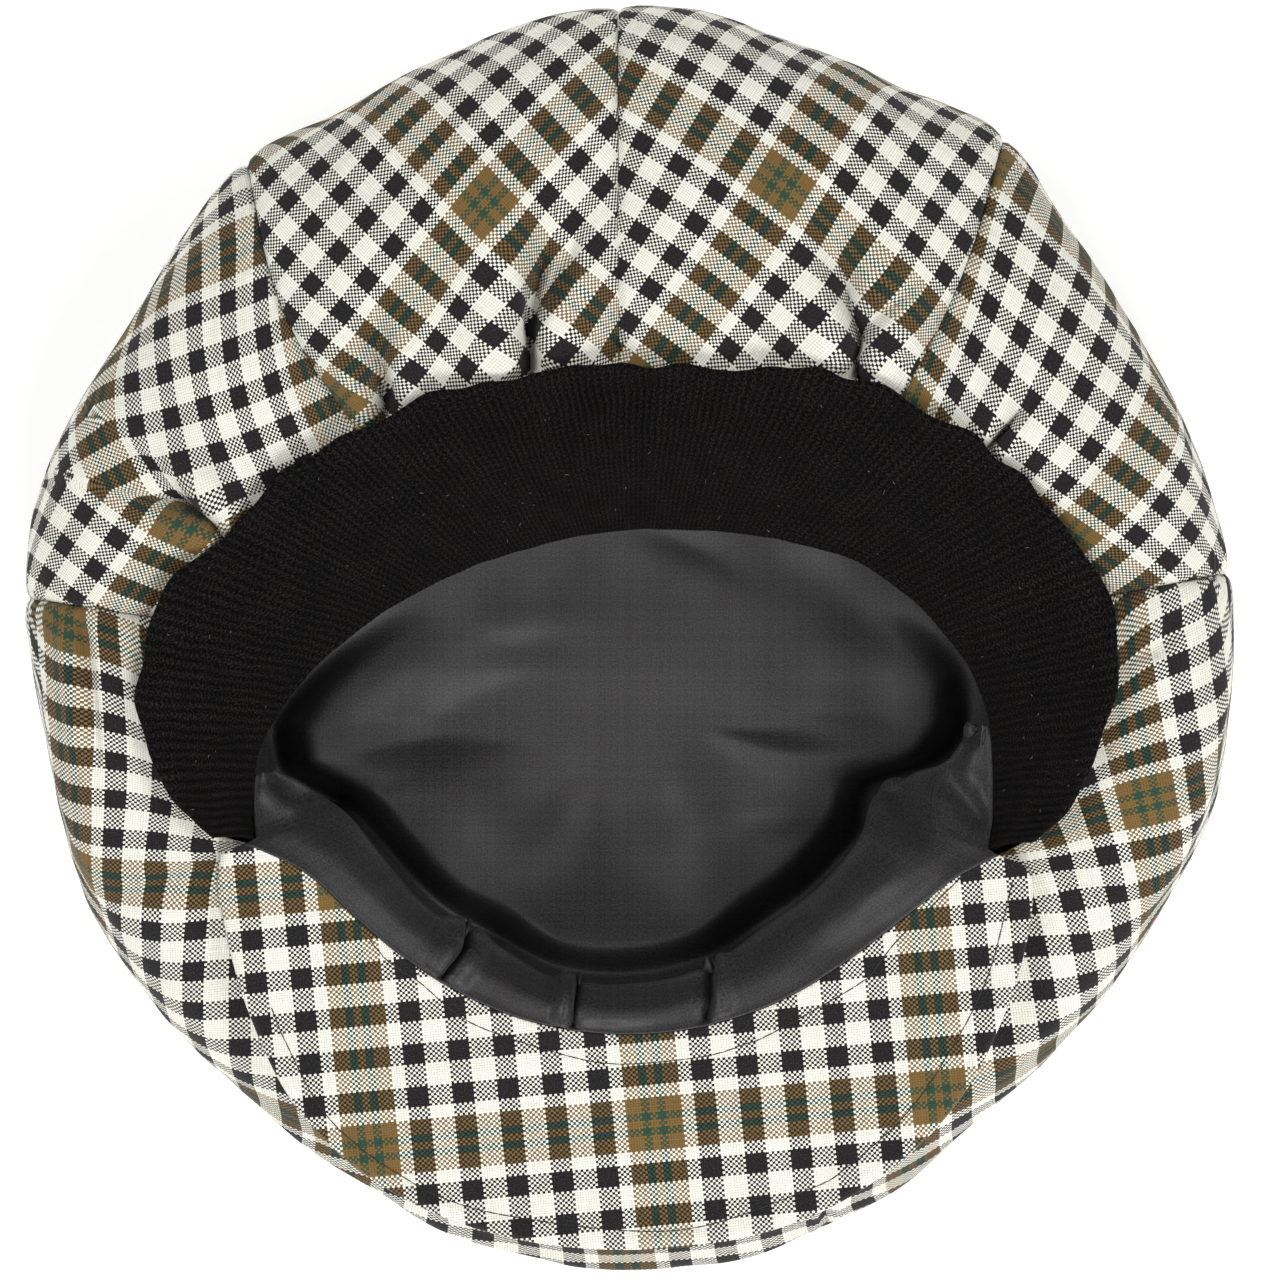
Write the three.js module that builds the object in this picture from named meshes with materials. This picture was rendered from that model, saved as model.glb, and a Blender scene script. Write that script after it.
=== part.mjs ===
// A panelled cloth cap with a short peak, lying upside down on its crown.
// Millimetres, +Z up. The head opening faces up, the back of the cap is +Y and the peak is -Y.
// The origin is on the resting plane, under the middle of the crown.
// A bearing is an angle in degrees from the back of the cap, clockwise seen from above.

import * as THREE from 'three';

// Walls
const CLOTH = 1.5;
const KNIT = 3.0;
const KNIT_EDGE = 1.9;
const SATIN = 1.0;
const FACING = 1.2;
const PEAK_CLOTH = 1.6;
const GAP = 0.3;

// Crown: the flat that rests ends this far in from the outline, and the crest is squarer than
// a quarter circle, whose power would be 2
const FLAT_MARGIN = 34;
const CREST_POWER = 2.3;
const PUFF = { height: 2.6, seamReach: 14, from: 0.12, full: 0.4 };
const SEAM = { depth: 1.5, halfWidth: 2.2, from: 1.2, full: 1.8 };
const FOLD_FADE = 0.25;
const FOLD_RIDGE = { share: 0.35, aside: 2.2 };
const SEWN_FLAT = 0.94;
const CLOTH_TUCK = 4;
const BUTTON = { radius: 9, height: 4, edge: 1.2, sides: 20 };

// Head opening: its centre stands in front of the crown's centre
const MOUTH_CENTRE_Y = -15;
const BAND_SLOPE = 0.78;
const BAND_SWELL = { inward: 0.9, upward: 1.44 };
const BAND_ENDS = { left: { fold: -108.0, inner: -110.2 }, right: { fold: 109.0, inner: 112.4 } };
const FACING_SLOPE = 0.62;
const FRONT_TURN = { from: 110, to: 118 };
const LINING_TUCK = { back: 10, front: 4 };
const LINING_CLEAR = 0.8;
const LINING_FLOOR = 5.5;
const LINING_POWER = 7;

// Peak
const PEAK_ENDS = { right: 112.8, left: 249.6 };
const PEAK_SAG = 1.2;
const PEAK_MARGIN = 4;
const PEAK_DEPTH = 2 * PEAK_CLOTH + GAP;

// Crown outline seen from above, and the height of its widest line
const CROWN_SECTIONS = [
  { bearing: -180, outline: 146.2, widest: 27 },
  { bearing: -166, outline: 144.7, widest: 27 },
  { bearing: -154, outline: 140.8, widest: 28 },
  { bearing: -140, outline: 138.4, widest: 29 },
  { bearing: -118, outline: 139.2, widest: 31 },
  { bearing: -100, outline: 136.9, widest: 33 },
  { bearing: -86.5, outline: 139.4, widest: 33 },
  { bearing: -75, outline: 139.9, widest: 33 },
  { bearing: -58, outline: 135.9, widest: 32 },
  { bearing: -38, outline: 140.6, widest: 31 },
  { bearing: -27, outline: 138.1, widest: 31 },
  { bearing: -12, outline: 142.2, widest: 30 },
  { bearing: 0, outline: 146.0, widest: 29 },
  { bearing: 14, outline: 142.3, widest: 30 },
  { bearing: 25, outline: 140.8, widest: 31 },
  { bearing: 37, outline: 143.6, widest: 31 },
  { bearing: 47, outline: 137.9, widest: 32 },
  { bearing: 60, outline: 135.9, widest: 32 },
  { bearing: 75, outline: 137.4, widest: 33 },
  { bearing: 86.5, outline: 138.7, widest: 33 },
  { bearing: 104, outline: 139.5, widest: 32 },
  { bearing: 123, outline: 136.7, widest: 31 },
  { bearing: 143, outline: 137.5, widest: 29 },
  { bearing: 162, outline: 144.1, widest: 27 },
];

// Where each crown section ends at the head opening, as a bearing round the opening's centre,
// and how far its middle bows clockwise
const SECTION_ENDS = [
  { bearing: -180, mouth: -180, bow: 0 },
  { bearing: -115, mouth: -109.5, bow: 0 },
  { bearing: -86.5, mouth: -80, bow: 0 },
  { bearing: -39.2, mouth: -45, bow: -6 },
  { bearing: -1.2, mouth: -2, bow: 0 },
  { bearing: 37, mouth: 41.7, bow: 3 },
  { bearing: 84, mouth: 77.5, bow: 0 },
  { bearing: 115, mouth: 109, bow: 0 },
  { bearing: 180, mouth: 180, bow: 0 },
];

// Rim of the head opening round its own centre: the band's fold at the back and sides, the
// peak's seam at the front
const MOUTH_SECTIONS = [
  { bearing: -180, rim: 76.2, top: 57 },
  { bearing: -160, rim: 76.8, top: 57.5 },
  { bearing: -140, rim: 78.0, top: 59 },
  { bearing: -124, rim: 81.0, top: 60.5 },
  { bearing: -117, rim: 84.6, top: 61.3 },
  { bearing: -111.3, rim: 92.0, top: 61.9 },
  { bearing: -108.5, rim: 98.8, top: 62.2 },
  { bearing: -102, rim: 106.0, top: 62.9 },
  { bearing: -88, rim: 110.8, top: 64 },
  { bearing: -78, rim: 108.8, top: 64.5 },
  { bearing: -67, rim: 98.0, top: 65 },
  { bearing: -55, rim: 91.6, top: 65.5 },
  { bearing: -40, rim: 83.8, top: 66 },
  { bearing: -20, rim: 77.6, top: 66 },
  { bearing: 0, rim: 75.5, top: 66 },
  { bearing: 15, rim: 76.6, top: 66 },
  { bearing: 35, rim: 88.2, top: 66 },
  { bearing: 55, rim: 98.4, top: 65.5 },
  { bearing: 72, rim: 107.2, top: 65 },
  { bearing: 84, rim: 111.0, top: 64.5 },
  { bearing: 97, rim: 106.0, top: 63.5 },
  { bearing: 109, rim: 97.6, top: 62.2 },
  { bearing: 113.5, rim: 90.0, top: 61.6 },
  { bearing: 120, rim: 83.4, top: 61 },
  { bearing: 135, rim: 78.0, top: 59 },
  { bearing: 158, rim: 76.4, top: 57.5 },
];

// Inner edge of the knit band round the opening's centre
const BAND_SECTIONS = [
  { bearing: -111, inner: 91.6 },
  { bearing: -99, inner: 86.6 },
  { bearing: -90, inner: 78.8 },
  { bearing: -75, inner: 64.0 },
  { bearing: -60, inner: 53.0 },
  { bearing: -45, inner: 45.5 },
  { bearing: -25, inner: 40.4 },
  { bearing: 0, inner: 39.1 },
  { bearing: 25, inner: 43.0 },
  { bearing: 45, inner: 51.6 },
  { bearing: 60, inner: 61.8 },
  { bearing: 75, inner: 71.6 },
  { bearing: 90, inner: 81.0 },
  { bearing: 100, inner: 84.3 },
  { bearing: 113.5, inner: 89.0 },
];

// Free edge of the satin facing round the opening's centre
const FACING_SECTIONS = [
  { bearing: 94, free: 78.6 },
  { bearing: 101, free: 73.6 },
  { bearing: 109, free: 61.4 },
  { bearing: 120, free: 61.2 },
  { bearing: 135, free: 60.6 },
  { bearing: 150, free: 60.2 },
  { bearing: 165, free: 63.4 },
  { bearing: 180, free: 64.8 },
  { bearing: 195, free: 65.8 },
  { bearing: 210, free: 63.6 },
  { bearing: 222, free: 66.0 },
  { bearing: 240, free: 67.4 },
  { bearing: 250, free: 71.2 },
  { bearing: 259, free: 83.0 },
];

// Outer edge of the peak round the opening's centre, and the height of its face there
const PEAK_SECTIONS = [
  { bearing: 112.8, edge: 98.6, height: 61.8 },
  { bearing: 114, edge: 100.6, height: 61.4 },
  { bearing: 119, edge: 104.4, height: 60 },
  { bearing: 130, edge: 111.5, height: 57.5 },
  { bearing: 140, edge: 118.0, height: 54.5 },
  { bearing: 150, edge: 122.4, height: 51.5 },
  { bearing: 162, edge: 125.3, height: 49 },
  { bearing: 180, edge: 125.8, height: 48 },
  { bearing: 196, edge: 126.0, height: 49 },
  { bearing: 209, edge: 124.4, height: 51.5 },
  { bearing: 220, edge: 120.0, height: 54.5 },
  { bearing: 230, edge: 113.2, height: 57.5 },
  { bearing: 241, edge: 106.0, height: 60 },
  { bearing: 246, edge: 103.2, height: 61.4 },
  { bearing: 249.6, edge: 99.8, height: 61.8 },
];

// Folds that run from the head opening out over the crown: bearing at the opening, turn on
// the way out, reach as a share of the way to the outline, depth and half width in degrees
const FOLDS = [
  { bearing: -35.0, turn: 1, reach: 0.45, depth: 2.6, width: 2.8 },
  { bearing: -26.0, turn: 3, reach: 0.40, depth: 1.6, width: 3.0 },
  { bearing: -14.6, turn: 8, reach: 0.62, depth: 4.2, width: 3.4 },
  { bearing: 10.0, turn: -2, reach: 0.30, depth: 1.2, width: 3.2 },
  { bearing: 28.5, turn: -8, reach: 0.60, depth: 3.8, width: 3.2 },
  { bearing: 45.0, turn: 1, reach: 0.35, depth: 1.6, width: 3.0 },
  { bearing: 56.5, turn: 3, reach: 0.50, depth: 3.0, width: 3.2 },
  { bearing: 79.5, turn: 2, reach: 0.55, depth: 2.2, width: 3.0 },
  { bearing: 90.0, turn: -1, reach: 0.55, depth: 2.0, width: 3.0 },
  { bearing: 103.0, turn: 4, reach: 0.45, depth: 1.6, width: 3.6 },
  { bearing: -70.5, turn: -4, reach: 0.85, depth: 3.8, width: 3.2 },
  { bearing: -55.0, turn: 1, reach: 0.40, depth: 1.6, width: 3.4 },
  { bearing: -81.5, turn: -2, reach: 0.55, depth: 2.2, width: 2.8 },
  { bearing: -92.0, turn: 2, reach: 0.60, depth: 2.0, width: 3.0 },
  { bearing: -104.0, turn: -3, reach: 0.50, depth: 1.6, width: 3.6 },
];

// Pleats that stand up in the satin facing: bearing, height and half width in degrees
const PLEATS = [
  { bearing: 230, height: 2.2, width: 2.6 },
  { bearing: 206, height: 2.6, width: 2.0 },
  { bearing: 163, height: 2.4, width: 2.2 },
  { bearing: 104, height: 1.6, width: 2.6 },
];

// Soft ridges across the floor of the lining: place, heading, length, height and half width
const WRINKLES = [
  { x: -24, y: -3, heading: 12, length: 24, height: 1.1, width: 3.0 },
  { x: 15, y: 18, heading: -22, length: 14, height: 0.9, width: 2.6 },
  { x: 44, y: -44, heading: 35, length: 26, height: 1.6, width: 5.0 },
  { x: -48, y: -30, heading: -50, length: 30, height: 1.2, width: 6.0 },
];

// Crown pieces between their seams, with the number of columns in each
const CROWN_PIECES = [
  { name: 'crown_back_left', from: -39.2, to: -1.2, columns: 15 },
  { name: 'crown_back_right', from: -1.2, to: 37, columns: 15 },
  { name: 'crown_side_left', from: -86.5, to: -39.2, columns: 15 },
  { name: 'crown_side_right', from: 37, to: 84, columns: 15 },
  { name: 'crown_front', from: 84, to: 273.5, columns: 40 },
];
const SEAMS = CROWN_PIECES.map((section) => wrapBearing(section.from, -180));

const FABRICS = {
  check: { color: 0x8f8a7d, roughness: 0.9, metalness: 0 },
  knit: { color: 0x17140f, roughness: 0.95, metalness: 0 },
  satin: { color: 0x3b3a3d, roughness: 0.5, metalness: 0 },
};

// Steps for slopes: along a bearing in degrees, along a row and along a share of the width
const STEP = { bearing: 0.4, row: 0.008, share: 0.004 };

const radians = THREE.MathUtils.degToRad;
const degrees = THREE.MathUtils.radToDeg;
const smoothstep = THREE.MathUtils.smoothstep;
const lerp = THREE.MathUtils.lerp;
const clamp = THREE.MathUtils.clamp;

// A bearing brought into the turn that starts at the given bearing
function wrapBearing(bearing, start) {
  return start + ((((bearing - start) % 360) + 360) % 360);
}

// The value of one column at a bearing, on a smooth curve through the rows of a table
function readTable(rows, column, bearing, closed) {
  const count = rows.length;
  const first = rows[0].bearing;
  const last = rows[count - 1].bearing;
  const place = closed ? wrapBearing(bearing, first) : clamp(bearing, first, last);
  let row = 0;
  while (row < count - 1 && rows[row + 1].bearing <= place) row += 1;
  if (!closed) row = Math.min(row, count - 2);
  const key = (i) => {
    const turn = closed ? Math.floor(i / count) : 0;
    const index = closed ? i - turn * count : clamp(i, 0, count - 1);
    return { at: rows[index].bearing + 360 * turn, value: rows[index][column] };
  };
  const [before, left, right, after] = [row - 1, row, row + 1, row + 2].map(key);
  const span = right.at - left.at;
  const slope = (a, b) => (b.at === a.at ? 0 : (b.value - a.value) / (b.at - a.at));
  const t = (place - left.at) / span;
  const m0 = slope(before, right) * span;
  const m1 = slope(left, after) * span;
  return (2 * t ** 3 - 3 * t ** 2 + 1) * left.value + (t ** 3 - 2 * t ** 2 + t) * m0
    + (3 * t ** 2 - 2 * t ** 3) * right.value + (t ** 3 - t ** 2) * m1;
}

// A point at a bearing and radius round the opening's centre
function aroundMouth(bearing, radius, z) {
  const angle = radians(bearing);
  return new THREE.Vector3(radius * Math.sin(angle), MOUTH_CENTRE_Y + radius * Math.cos(angle), z);
}

// A bump of height 1 at the middle that falls to nothing on both sides
function bell(distance, halfWidth) {
  return Math.exp(-((distance / halfWidth) ** 2));
}

// One closed body between two grids of points that lie a wall's thickness apart
function closedSheet(front, back) {
  const columns = front.length;
  const rows = front[0].length;
  const last = columns - 1;
  const top = rows - 1;
  const position = [...front, ...back].flat().flatMap((point) => point.toArray());
  const at = (side, i, j) => (side * columns + i) * rows + j;
  const index = [];
  const quad = (a, b, c, d) => index.push(a, b, c, a, c, d);
  for (let i = 0; i < last; i += 1) {
    for (let j = 0; j < top; j += 1) {
      quad(at(0, i, j), at(0, i + 1, j), at(0, i + 1, j + 1), at(0, i, j + 1));
      quad(at(1, i, j), at(1, i, j + 1), at(1, i + 1, j + 1), at(1, i + 1, j));
    }
    quad(at(0, i + 1, 0), at(0, i, 0), at(1, i, 0), at(1, i + 1, 0));
    quad(at(0, i, top), at(0, i + 1, top), at(1, i + 1, top), at(1, i, top));
  }
  for (let j = 0; j < top; j += 1) {
    quad(at(0, 0, j), at(0, 0, j + 1), at(1, 0, j + 1), at(1, 0, j));
    quad(at(0, last, j + 1), at(0, last, j), at(1, last, j), at(1, last, j + 1));
  }
  const geometry = new THREE.BufferGeometry();
  geometry.setAttribute('position', new THREE.Float32BufferAttribute(position, 3));
  geometry.setIndex(signedVolume(position, index) < 0 ? index.reverse() : index);
  geometry.computeVertexNormals();
  return geometry;
}

// Volume inside the triangles, negative where they face inwards
function signedVolume(position, index) {
  const corner = (i) => new THREE.Vector3().fromArray(position, 3 * i);
  let volume = 0;
  for (let t = 0; t < index.length; t += 3) {
    const [a, b, c] = [index[t], index[t + 1], index[t + 2]].map(corner);
    volume += a.dot(b.cross(c)) / 6;
  }
  return volume;
}

// The unit normal of a surface that is a function of two parameters, from points a step away
function surfaceNormal(surface, a, b, stepA, stepB) {
  const alongA = surface(a + stepA, b).sub(surface(a - stepA, b));
  const alongB = surface(a, b + stepB).sub(surface(a, b - stepB));
  return alongA.cross(alongB).normalize();
}

// A sheet behind a surface whose parameters run from 0 to 1, as thick as its wall says
function thickSheet(surface, columnValues, rowValues, wall) {
  const front = columnValues.map((a) => rowValues.map((b) => surface(a, b)));
  const back = columnValues.map((a, i) => rowValues.map((b, j) => {
    const normal = surfaceNormal(surface, a, b, STEP.share, STEP.row);
    return front[i][j].clone().addScaledVector(normal, typeof wall === 'function' ? wall(a, b) : wall);
  }));
  return closedSheet(front, back);
}

// Evenly spaced values from a start to an end, both included
function spread(from, to, steps) {
  return Array.from({ length: steps + 1 }, (_, i) => lerp(from, to, i / steps));
}

// The rim of the head opening at a bearing round it: radius, height, slope and wall there
function mouthRim(bearing) {
  const front = smoothstep(Math.abs(wrapBearing(bearing, -180)), FRONT_TURN.from, FRONT_TURN.to);
  return {
    rim: readTable(MOUTH_SECTIONS, 'rim', bearing, true),
    top: readTable(MOUTH_SECTIONS, 'top', bearing, true),
    slope: lerp(BAND_SLOPE, FACING_SLOPE, front),
    wall: lerp(KNIT, FACING, front),
    front,
  };
}

// A point under the strip that lines the opening, at a distance in from the rim
function underStrip(bearing, distance, clearance) {
  const { rim, top, slope, wall } = mouthRim(bearing);
  const run = 1 / Math.hypot(1, slope);
  const drop = slope * run;
  const depth = wall + clearance;
  return aroundMouth(bearing, rim - run * distance + drop * depth, top - drop * distance - run * depth);
}

// Edge and face of the peak at a bearing, with the rim that it is sewn to
function peakSection(bearing) {
  const place = wrapBearing(bearing, 90);
  const edge = readTable(PEAK_SECTIONS, 'edge', place, false);
  const height = readTable(PEAK_SECTIONS, 'height', place, false);
  const { rim, top } = mouthRim(place);
  return { place, rim, top, edge, height };
}

// Height of the peak's upper face, t going from 0 at the head opening to 1 at the outer edge
function peakHeight({ top, height }, t) {
  return lerp(top, height, t) - PEAK_SAG * t * (1 - t);
}

// The face of the peak that lies up
function peakFace(bearing, t) {
  const section = peakSection(bearing);
  const radius = lerp(section.rim + GAP / 2, section.edge, t);
  return aroundMouth(section.place, radius, peakHeight(section, t));
}

// Height of the underside of the peak over a point, or infinity clear of it
function peakUndersideOver(point) {
  const dy = point.y - MOUTH_CENTRE_Y;
  const section = peakSection(degrees(Math.atan2(point.x, dy)));
  const radius = Math.hypot(point.x, dy);
  const beforeRight = section.place < PEAK_ENDS.right - PEAK_MARGIN;
  const pastLeft = section.place > PEAK_ENDS.left + PEAK_MARGIN;
  if (beforeRight || pastLeft || radius > section.edge + PEAK_MARGIN) return Infinity;
  const t = clamp((radius - section.rim) / (section.edge - section.rim), 0, 1);
  return peakHeight(section, t) - PEAK_DEPTH - GAP;
}

// The crown without its folds. Row 0 to 1 is the flat that rests, 1 to 2 rises to the widest
// line, and 2 to 3 goes over the crest to the head opening.
function crownBase(bearing, row) {
  const outline = readTable(CROWN_SECTIONS, 'outline', bearing, true);
  const widest = readTable(CROWN_SECTIONS, 'widest', bearing, true);
  const flat = outline - FLAT_MARGIN;
  const angle = radians(bearing);
  const out = new THREE.Vector3(Math.sin(angle), Math.cos(angle), 0);
  if (row <= 1) return out.multiplyScalar(lerp(BUTTON.radius + GAP, flat, row));
  if (row <= 2) {
    const turn = (row - 1) * Math.PI / 2;
    const point = out.multiplyScalar(lerp(flat, outline, Math.sin(turn)));
    point.z = widest * (1 - Math.cos(turn));
    return point;
  }
  const turn = Math.min(row - 2, 1) * Math.PI / 2;
  const inward = 1 - Math.cos(turn) ** (2 / CREST_POWER);
  const rise = Math.sin(turn) ** (2 / CREST_POWER);
  const place = wrapBearing(bearing, -180);
  const mouthBearing = readTable(SECTION_ENDS, 'mouth', place, false);
  const { front } = mouthRim(mouthBearing);
  const end = underStrip(mouthBearing, lerp(CLOTH_TUCK, 0, front), GAP);
  if (front > 0) end.lerp(peakSeat(mouthBearing), front);
  const bow = readTable(SECTION_ENDS, 'bow', place, false) * Math.sin(Math.PI * inward);
  const aside = new THREE.Vector3(Math.cos(angle), -Math.sin(angle), 0).multiplyScalar(bow);
  const point = out.multiplyScalar(outline).lerp(end, inward).add(aside);
  point.z = lerp(widest, end.z, rise);
  return point;
}

// Where the crown's cloth ends under the seam of the peak
function peakSeat(bearing) {
  const { rim, top } = mouthRim(bearing);
  return aroundMouth(bearing, rim + 1, top - PEAK_DEPTH - GAP);
}

// How far the cloth stands out or sinks at a place: puffed pieces, sewn-in seams, folds
function crownRelief(bearing, row) {
  if (row <= 1) return 0;
  const place = wrapBearing(bearing, -180);
  const up = clamp(row - 2, 0, 1);
  const toSeam = Math.min(...SEAMS.map((seam) => Math.abs(place - seam)));
  const puffed = smoothstep(toSeam, 0, PUFF.seamReach) * smoothstep(up, PUFF.from, PUFF.full);
  let relief = PUFF.height * puffed * Math.sin(Math.PI * up);
  relief -= SEAM.depth * bell(toSeam, SEAM.halfWidth) * smoothstep(row, SEAM.from, SEAM.full);
  for (const fold of FOLDS) {
    const out = (1 - up) / fold.reach;
    const share = 1 - smoothstep(out, FOLD_FADE, 1);
    const line = fold.bearing + fold.turn * Math.min(out, 1);
    const valley = bell(place - line, fold.width);
    const ridges = bell(Math.abs(place - line) - FOLD_RIDGE.aside * fold.width, fold.width);
    relief += fold.depth * share * (FOLD_RIDGE.share * ridges - valley);
  }
  return relief * (1 - smoothstep(up, SEWN_FLAT, 1));
}

// The outer face of the crown
function crownFace(bearing, row) {
  const point = crownBase(bearing, row);
  const relief = crownRelief(bearing, row);
  if (relief !== 0) {
    const inside = clamp(row, 1 + 2 * STEP.row, 3 - 2 * STEP.row);
    const inwards = surfaceNormal(crownBase, bearing, inside, STEP.bearing, STEP.row);
    point.addScaledVector(inwards, -relief);
  }
  const over = row > 2 ? peakUndersideOver(point) : Infinity;
  point.z = Math.max(Math.min(point.z, over), 0);
  return point;
}

// One cloth piece of the crown, half a gap clear of the seam on either side
function crownPiece({ from, to, columns }) {
  const face = (share, row) => {
    const bearing = lerp(from, to, share);
    const base = crownBase(bearing, row);
    const half = degrees(GAP / 2 / Math.hypot(base.x, base.y));
    return crownFace(lerp(from + half, to - half, share), row);
  };
  const rows = [0, 0.5, 1, 1.25, 1.5, 1.75, 2, 2.18, 2.36, 2.54, 2.7, 2.84, 3];
  return thickSheet(face, spread(0, 1, columns), rows, CLOTH);
}

// The covered button that closes the middle of the crown
function crownButton() {
  const { radius, height, edge, sides } = BUTTON;
  const profile = [
    [0, 0], [radius - edge, 0], [radius, edge],
    [radius, height - edge], [radius - edge, height], [0, height],
  ].map(([r, z]) => new THREE.Vector2(r, z));
  const geometry = new THREE.LatheGeometry(profile, sides);
  geometry.rotateX(Math.PI / 2);
  return geometry;
}

// Height of the band's inner edge
function bandInnerHeight({ rim, top }, inner) {
  return top - BAND_SLOPE * (rim - inner);
}

// The knit band: share runs from its left end to its right end, row from the fold at the rim
// to the inner edge
function bandFace(share, row) {
  const start = lerp(BAND_ENDS.left.fold, BAND_ENDS.left.inner, row);
  const end = lerp(BAND_ENDS.right.fold, BAND_ENDS.right.inner, row);
  const bearing = lerp(start, end, share);
  const mouth = mouthRim(bearing);
  const inner = readTable(BAND_SECTIONS, 'inner', bearing, false);
  const swell = Math.sin(Math.PI * clamp(row, 0, 1));
  const radius = lerp(mouth.rim, inner, row) - BAND_SWELL.inward * swell;
  const height = lerp(mouth.top, bandInnerHeight(mouth, inner), row) + BAND_SWELL.upward * swell;
  return aroundMouth(bearing, radius, height);
}

// The knit band, thinner along its edges
function knitBand() {
  const rows = [0, 0.06, 0.25, 0.5, 0.75, 0.95, 1];
  const atEdge = (value) => value === 0 || value === 1;
  const wall = (share, row) => (atEdge(share) || atEdge(row) ? KNIT_EDGE : KNIT);
  return thickSheet(bandFace, spread(0, 1, 54), rows, wall);
}

// The satin facing: row 0 is sewn in beside the peak or the band, row 1 is its free edge
function facingFace(bearing, row) {
  const mouth = mouthRim(bearing);
  const inner = readTable(BAND_SECTIONS, 'inner', wrapBearing(bearing, -180), false);
  const besideBand = bearing < BAND_ENDS.right.inner || bearing > 360 + BAND_ENDS.left.inner;
  const seat = (besideBand ? Math.min(inner, mouth.rim) : mouth.rim) - GAP;
  const free = readTable(FACING_SECTIONS, 'free', bearing, false);
  let height = bandInnerHeight(mouth, seat + GAP) - FACING_SLOPE * (seat - free) * row;
  for (const pleat of PLEATS) {
    height += pleat.height * bell(bearing - pleat.bearing, pleat.width) * row;
  }
  return aroundMouth(bearing, lerp(seat, free, row), height);
}

function frontFacing() {
  const first = FACING_SECTIONS[0].bearing;
  const last = FACING_SECTIONS[FACING_SECTIONS.length - 1].bearing;
  const face = (share, row) => facingFace(lerp(last, first, share), row);
  return thickSheet(face, spread(0, 1, 56), [0, 0.33, 0.66, 1], FACING);
}

// The satin lining as a bag: u and v run from 0 to 1 across the square that a disc fills
function liningFace(u, v) {
  const [a, b] = [2 * u - 1, 2 * v - 1];
  const dx = a * Math.sqrt(Math.max(1 - b * b / 2, 0));
  const dy = b * Math.sqrt(Math.max(1 - a * a / 2, 0));
  const share = Math.min(Math.hypot(dx, dy), 1);
  const bearing = degrees(Math.atan2(dx, dy));
  const { front } = mouthRim(bearing);
  const tuck = lerp(LINING_TUCK.back, LINING_TUCK.front, front);
  const rim = underStrip(bearing, tuck, LINING_CLEAR);
  const across = share * Math.hypot(rim.x, rim.y - MOUTH_CENTRE_Y);
  const point = aroundMouth(bearing, across, lerp(LINING_FLOOR, rim.z, share ** LINING_POWER));
  for (const wrinkle of WRINKLES) {
    const turn = radians(wrinkle.heading);
    const along = (point.x - wrinkle.x) * Math.cos(turn) + (point.y - wrinkle.y) * Math.sin(turn);
    const aside = (point.y - wrinkle.y) * Math.cos(turn) - (point.x - wrinkle.x) * Math.sin(turn);
    point.z += wrinkle.height * bell(along, wrinkle.length / 2) * bell(aside, wrinkle.width);
  }
  return point;
}

function liningBag() {
  const steps = spread(0, 1, 20);
  return thickSheet(liningFace, steps, steps, SATIN);
}

// One cloth of the peak, at a depth below the face that lies up
function peakCloth(depth) {
  const face = (bearing, t) => {
    const point = peakFace(bearing, t);
    point.z -= depth;
    return point;
  };
  const bearings = spread(PEAK_ENDS.right, PEAK_ENDS.left, 40);
  const front = bearings.map((bearing) => [0, 0.25, 0.5, 0.75, 1].map((t) => face(bearing, t)));
  const back = front.map((column) => column.map((p) => p.clone().setZ(p.z - PEAK_CLOTH)));
  return closedSheet(front, back);
}

// A named mesh in one of the fabrics
function piece(name, geometry, fabric) {
  const mesh = new THREE.Mesh(geometry, new THREE.MeshStandardMaterial(FABRICS[fabric]));
  mesh.name = name;
  return mesh;
}

const cap = new THREE.Group();
for (const section of CROWN_PIECES) cap.add(piece(section.name, crownPiece(section), 'check'));
cap.add(piece('crown_button', crownButton(), 'check'));
cap.add(piece('peak_under', peakCloth(0), 'check'));
cap.add(piece('peak_top', peakCloth(PEAK_CLOTH + GAP), 'check'));
cap.add(piece('knit_band', knitBand(), 'knit'));
cap.add(piece('front_facing', frontFacing(), 'satin'));
cap.add(piece('lining', liningBag(), 'satin'));

// The middle of the resting footprint goes to the origin
const box = new THREE.Box3().setFromObject(cap);
const middle = box.getCenter(new THREE.Vector3());
cap.position.set(-middle.x, -middle.y, -box.min.z);

export default cap;
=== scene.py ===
"""A panelled cloth cap with a short peak, lying upside down on its crown.

Sizes are in millimetres, as in the part's source, and every mesh is made in metres in the
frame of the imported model. A bearing is an angle in degrees from the back of the cap,
clockwise seen from above. Z is up, out of the head opening, and the peak is at -Y.
"""

import logging
import math
from dataclasses import dataclass
from enum import Enum
from typing import Optional, Sequence

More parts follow.
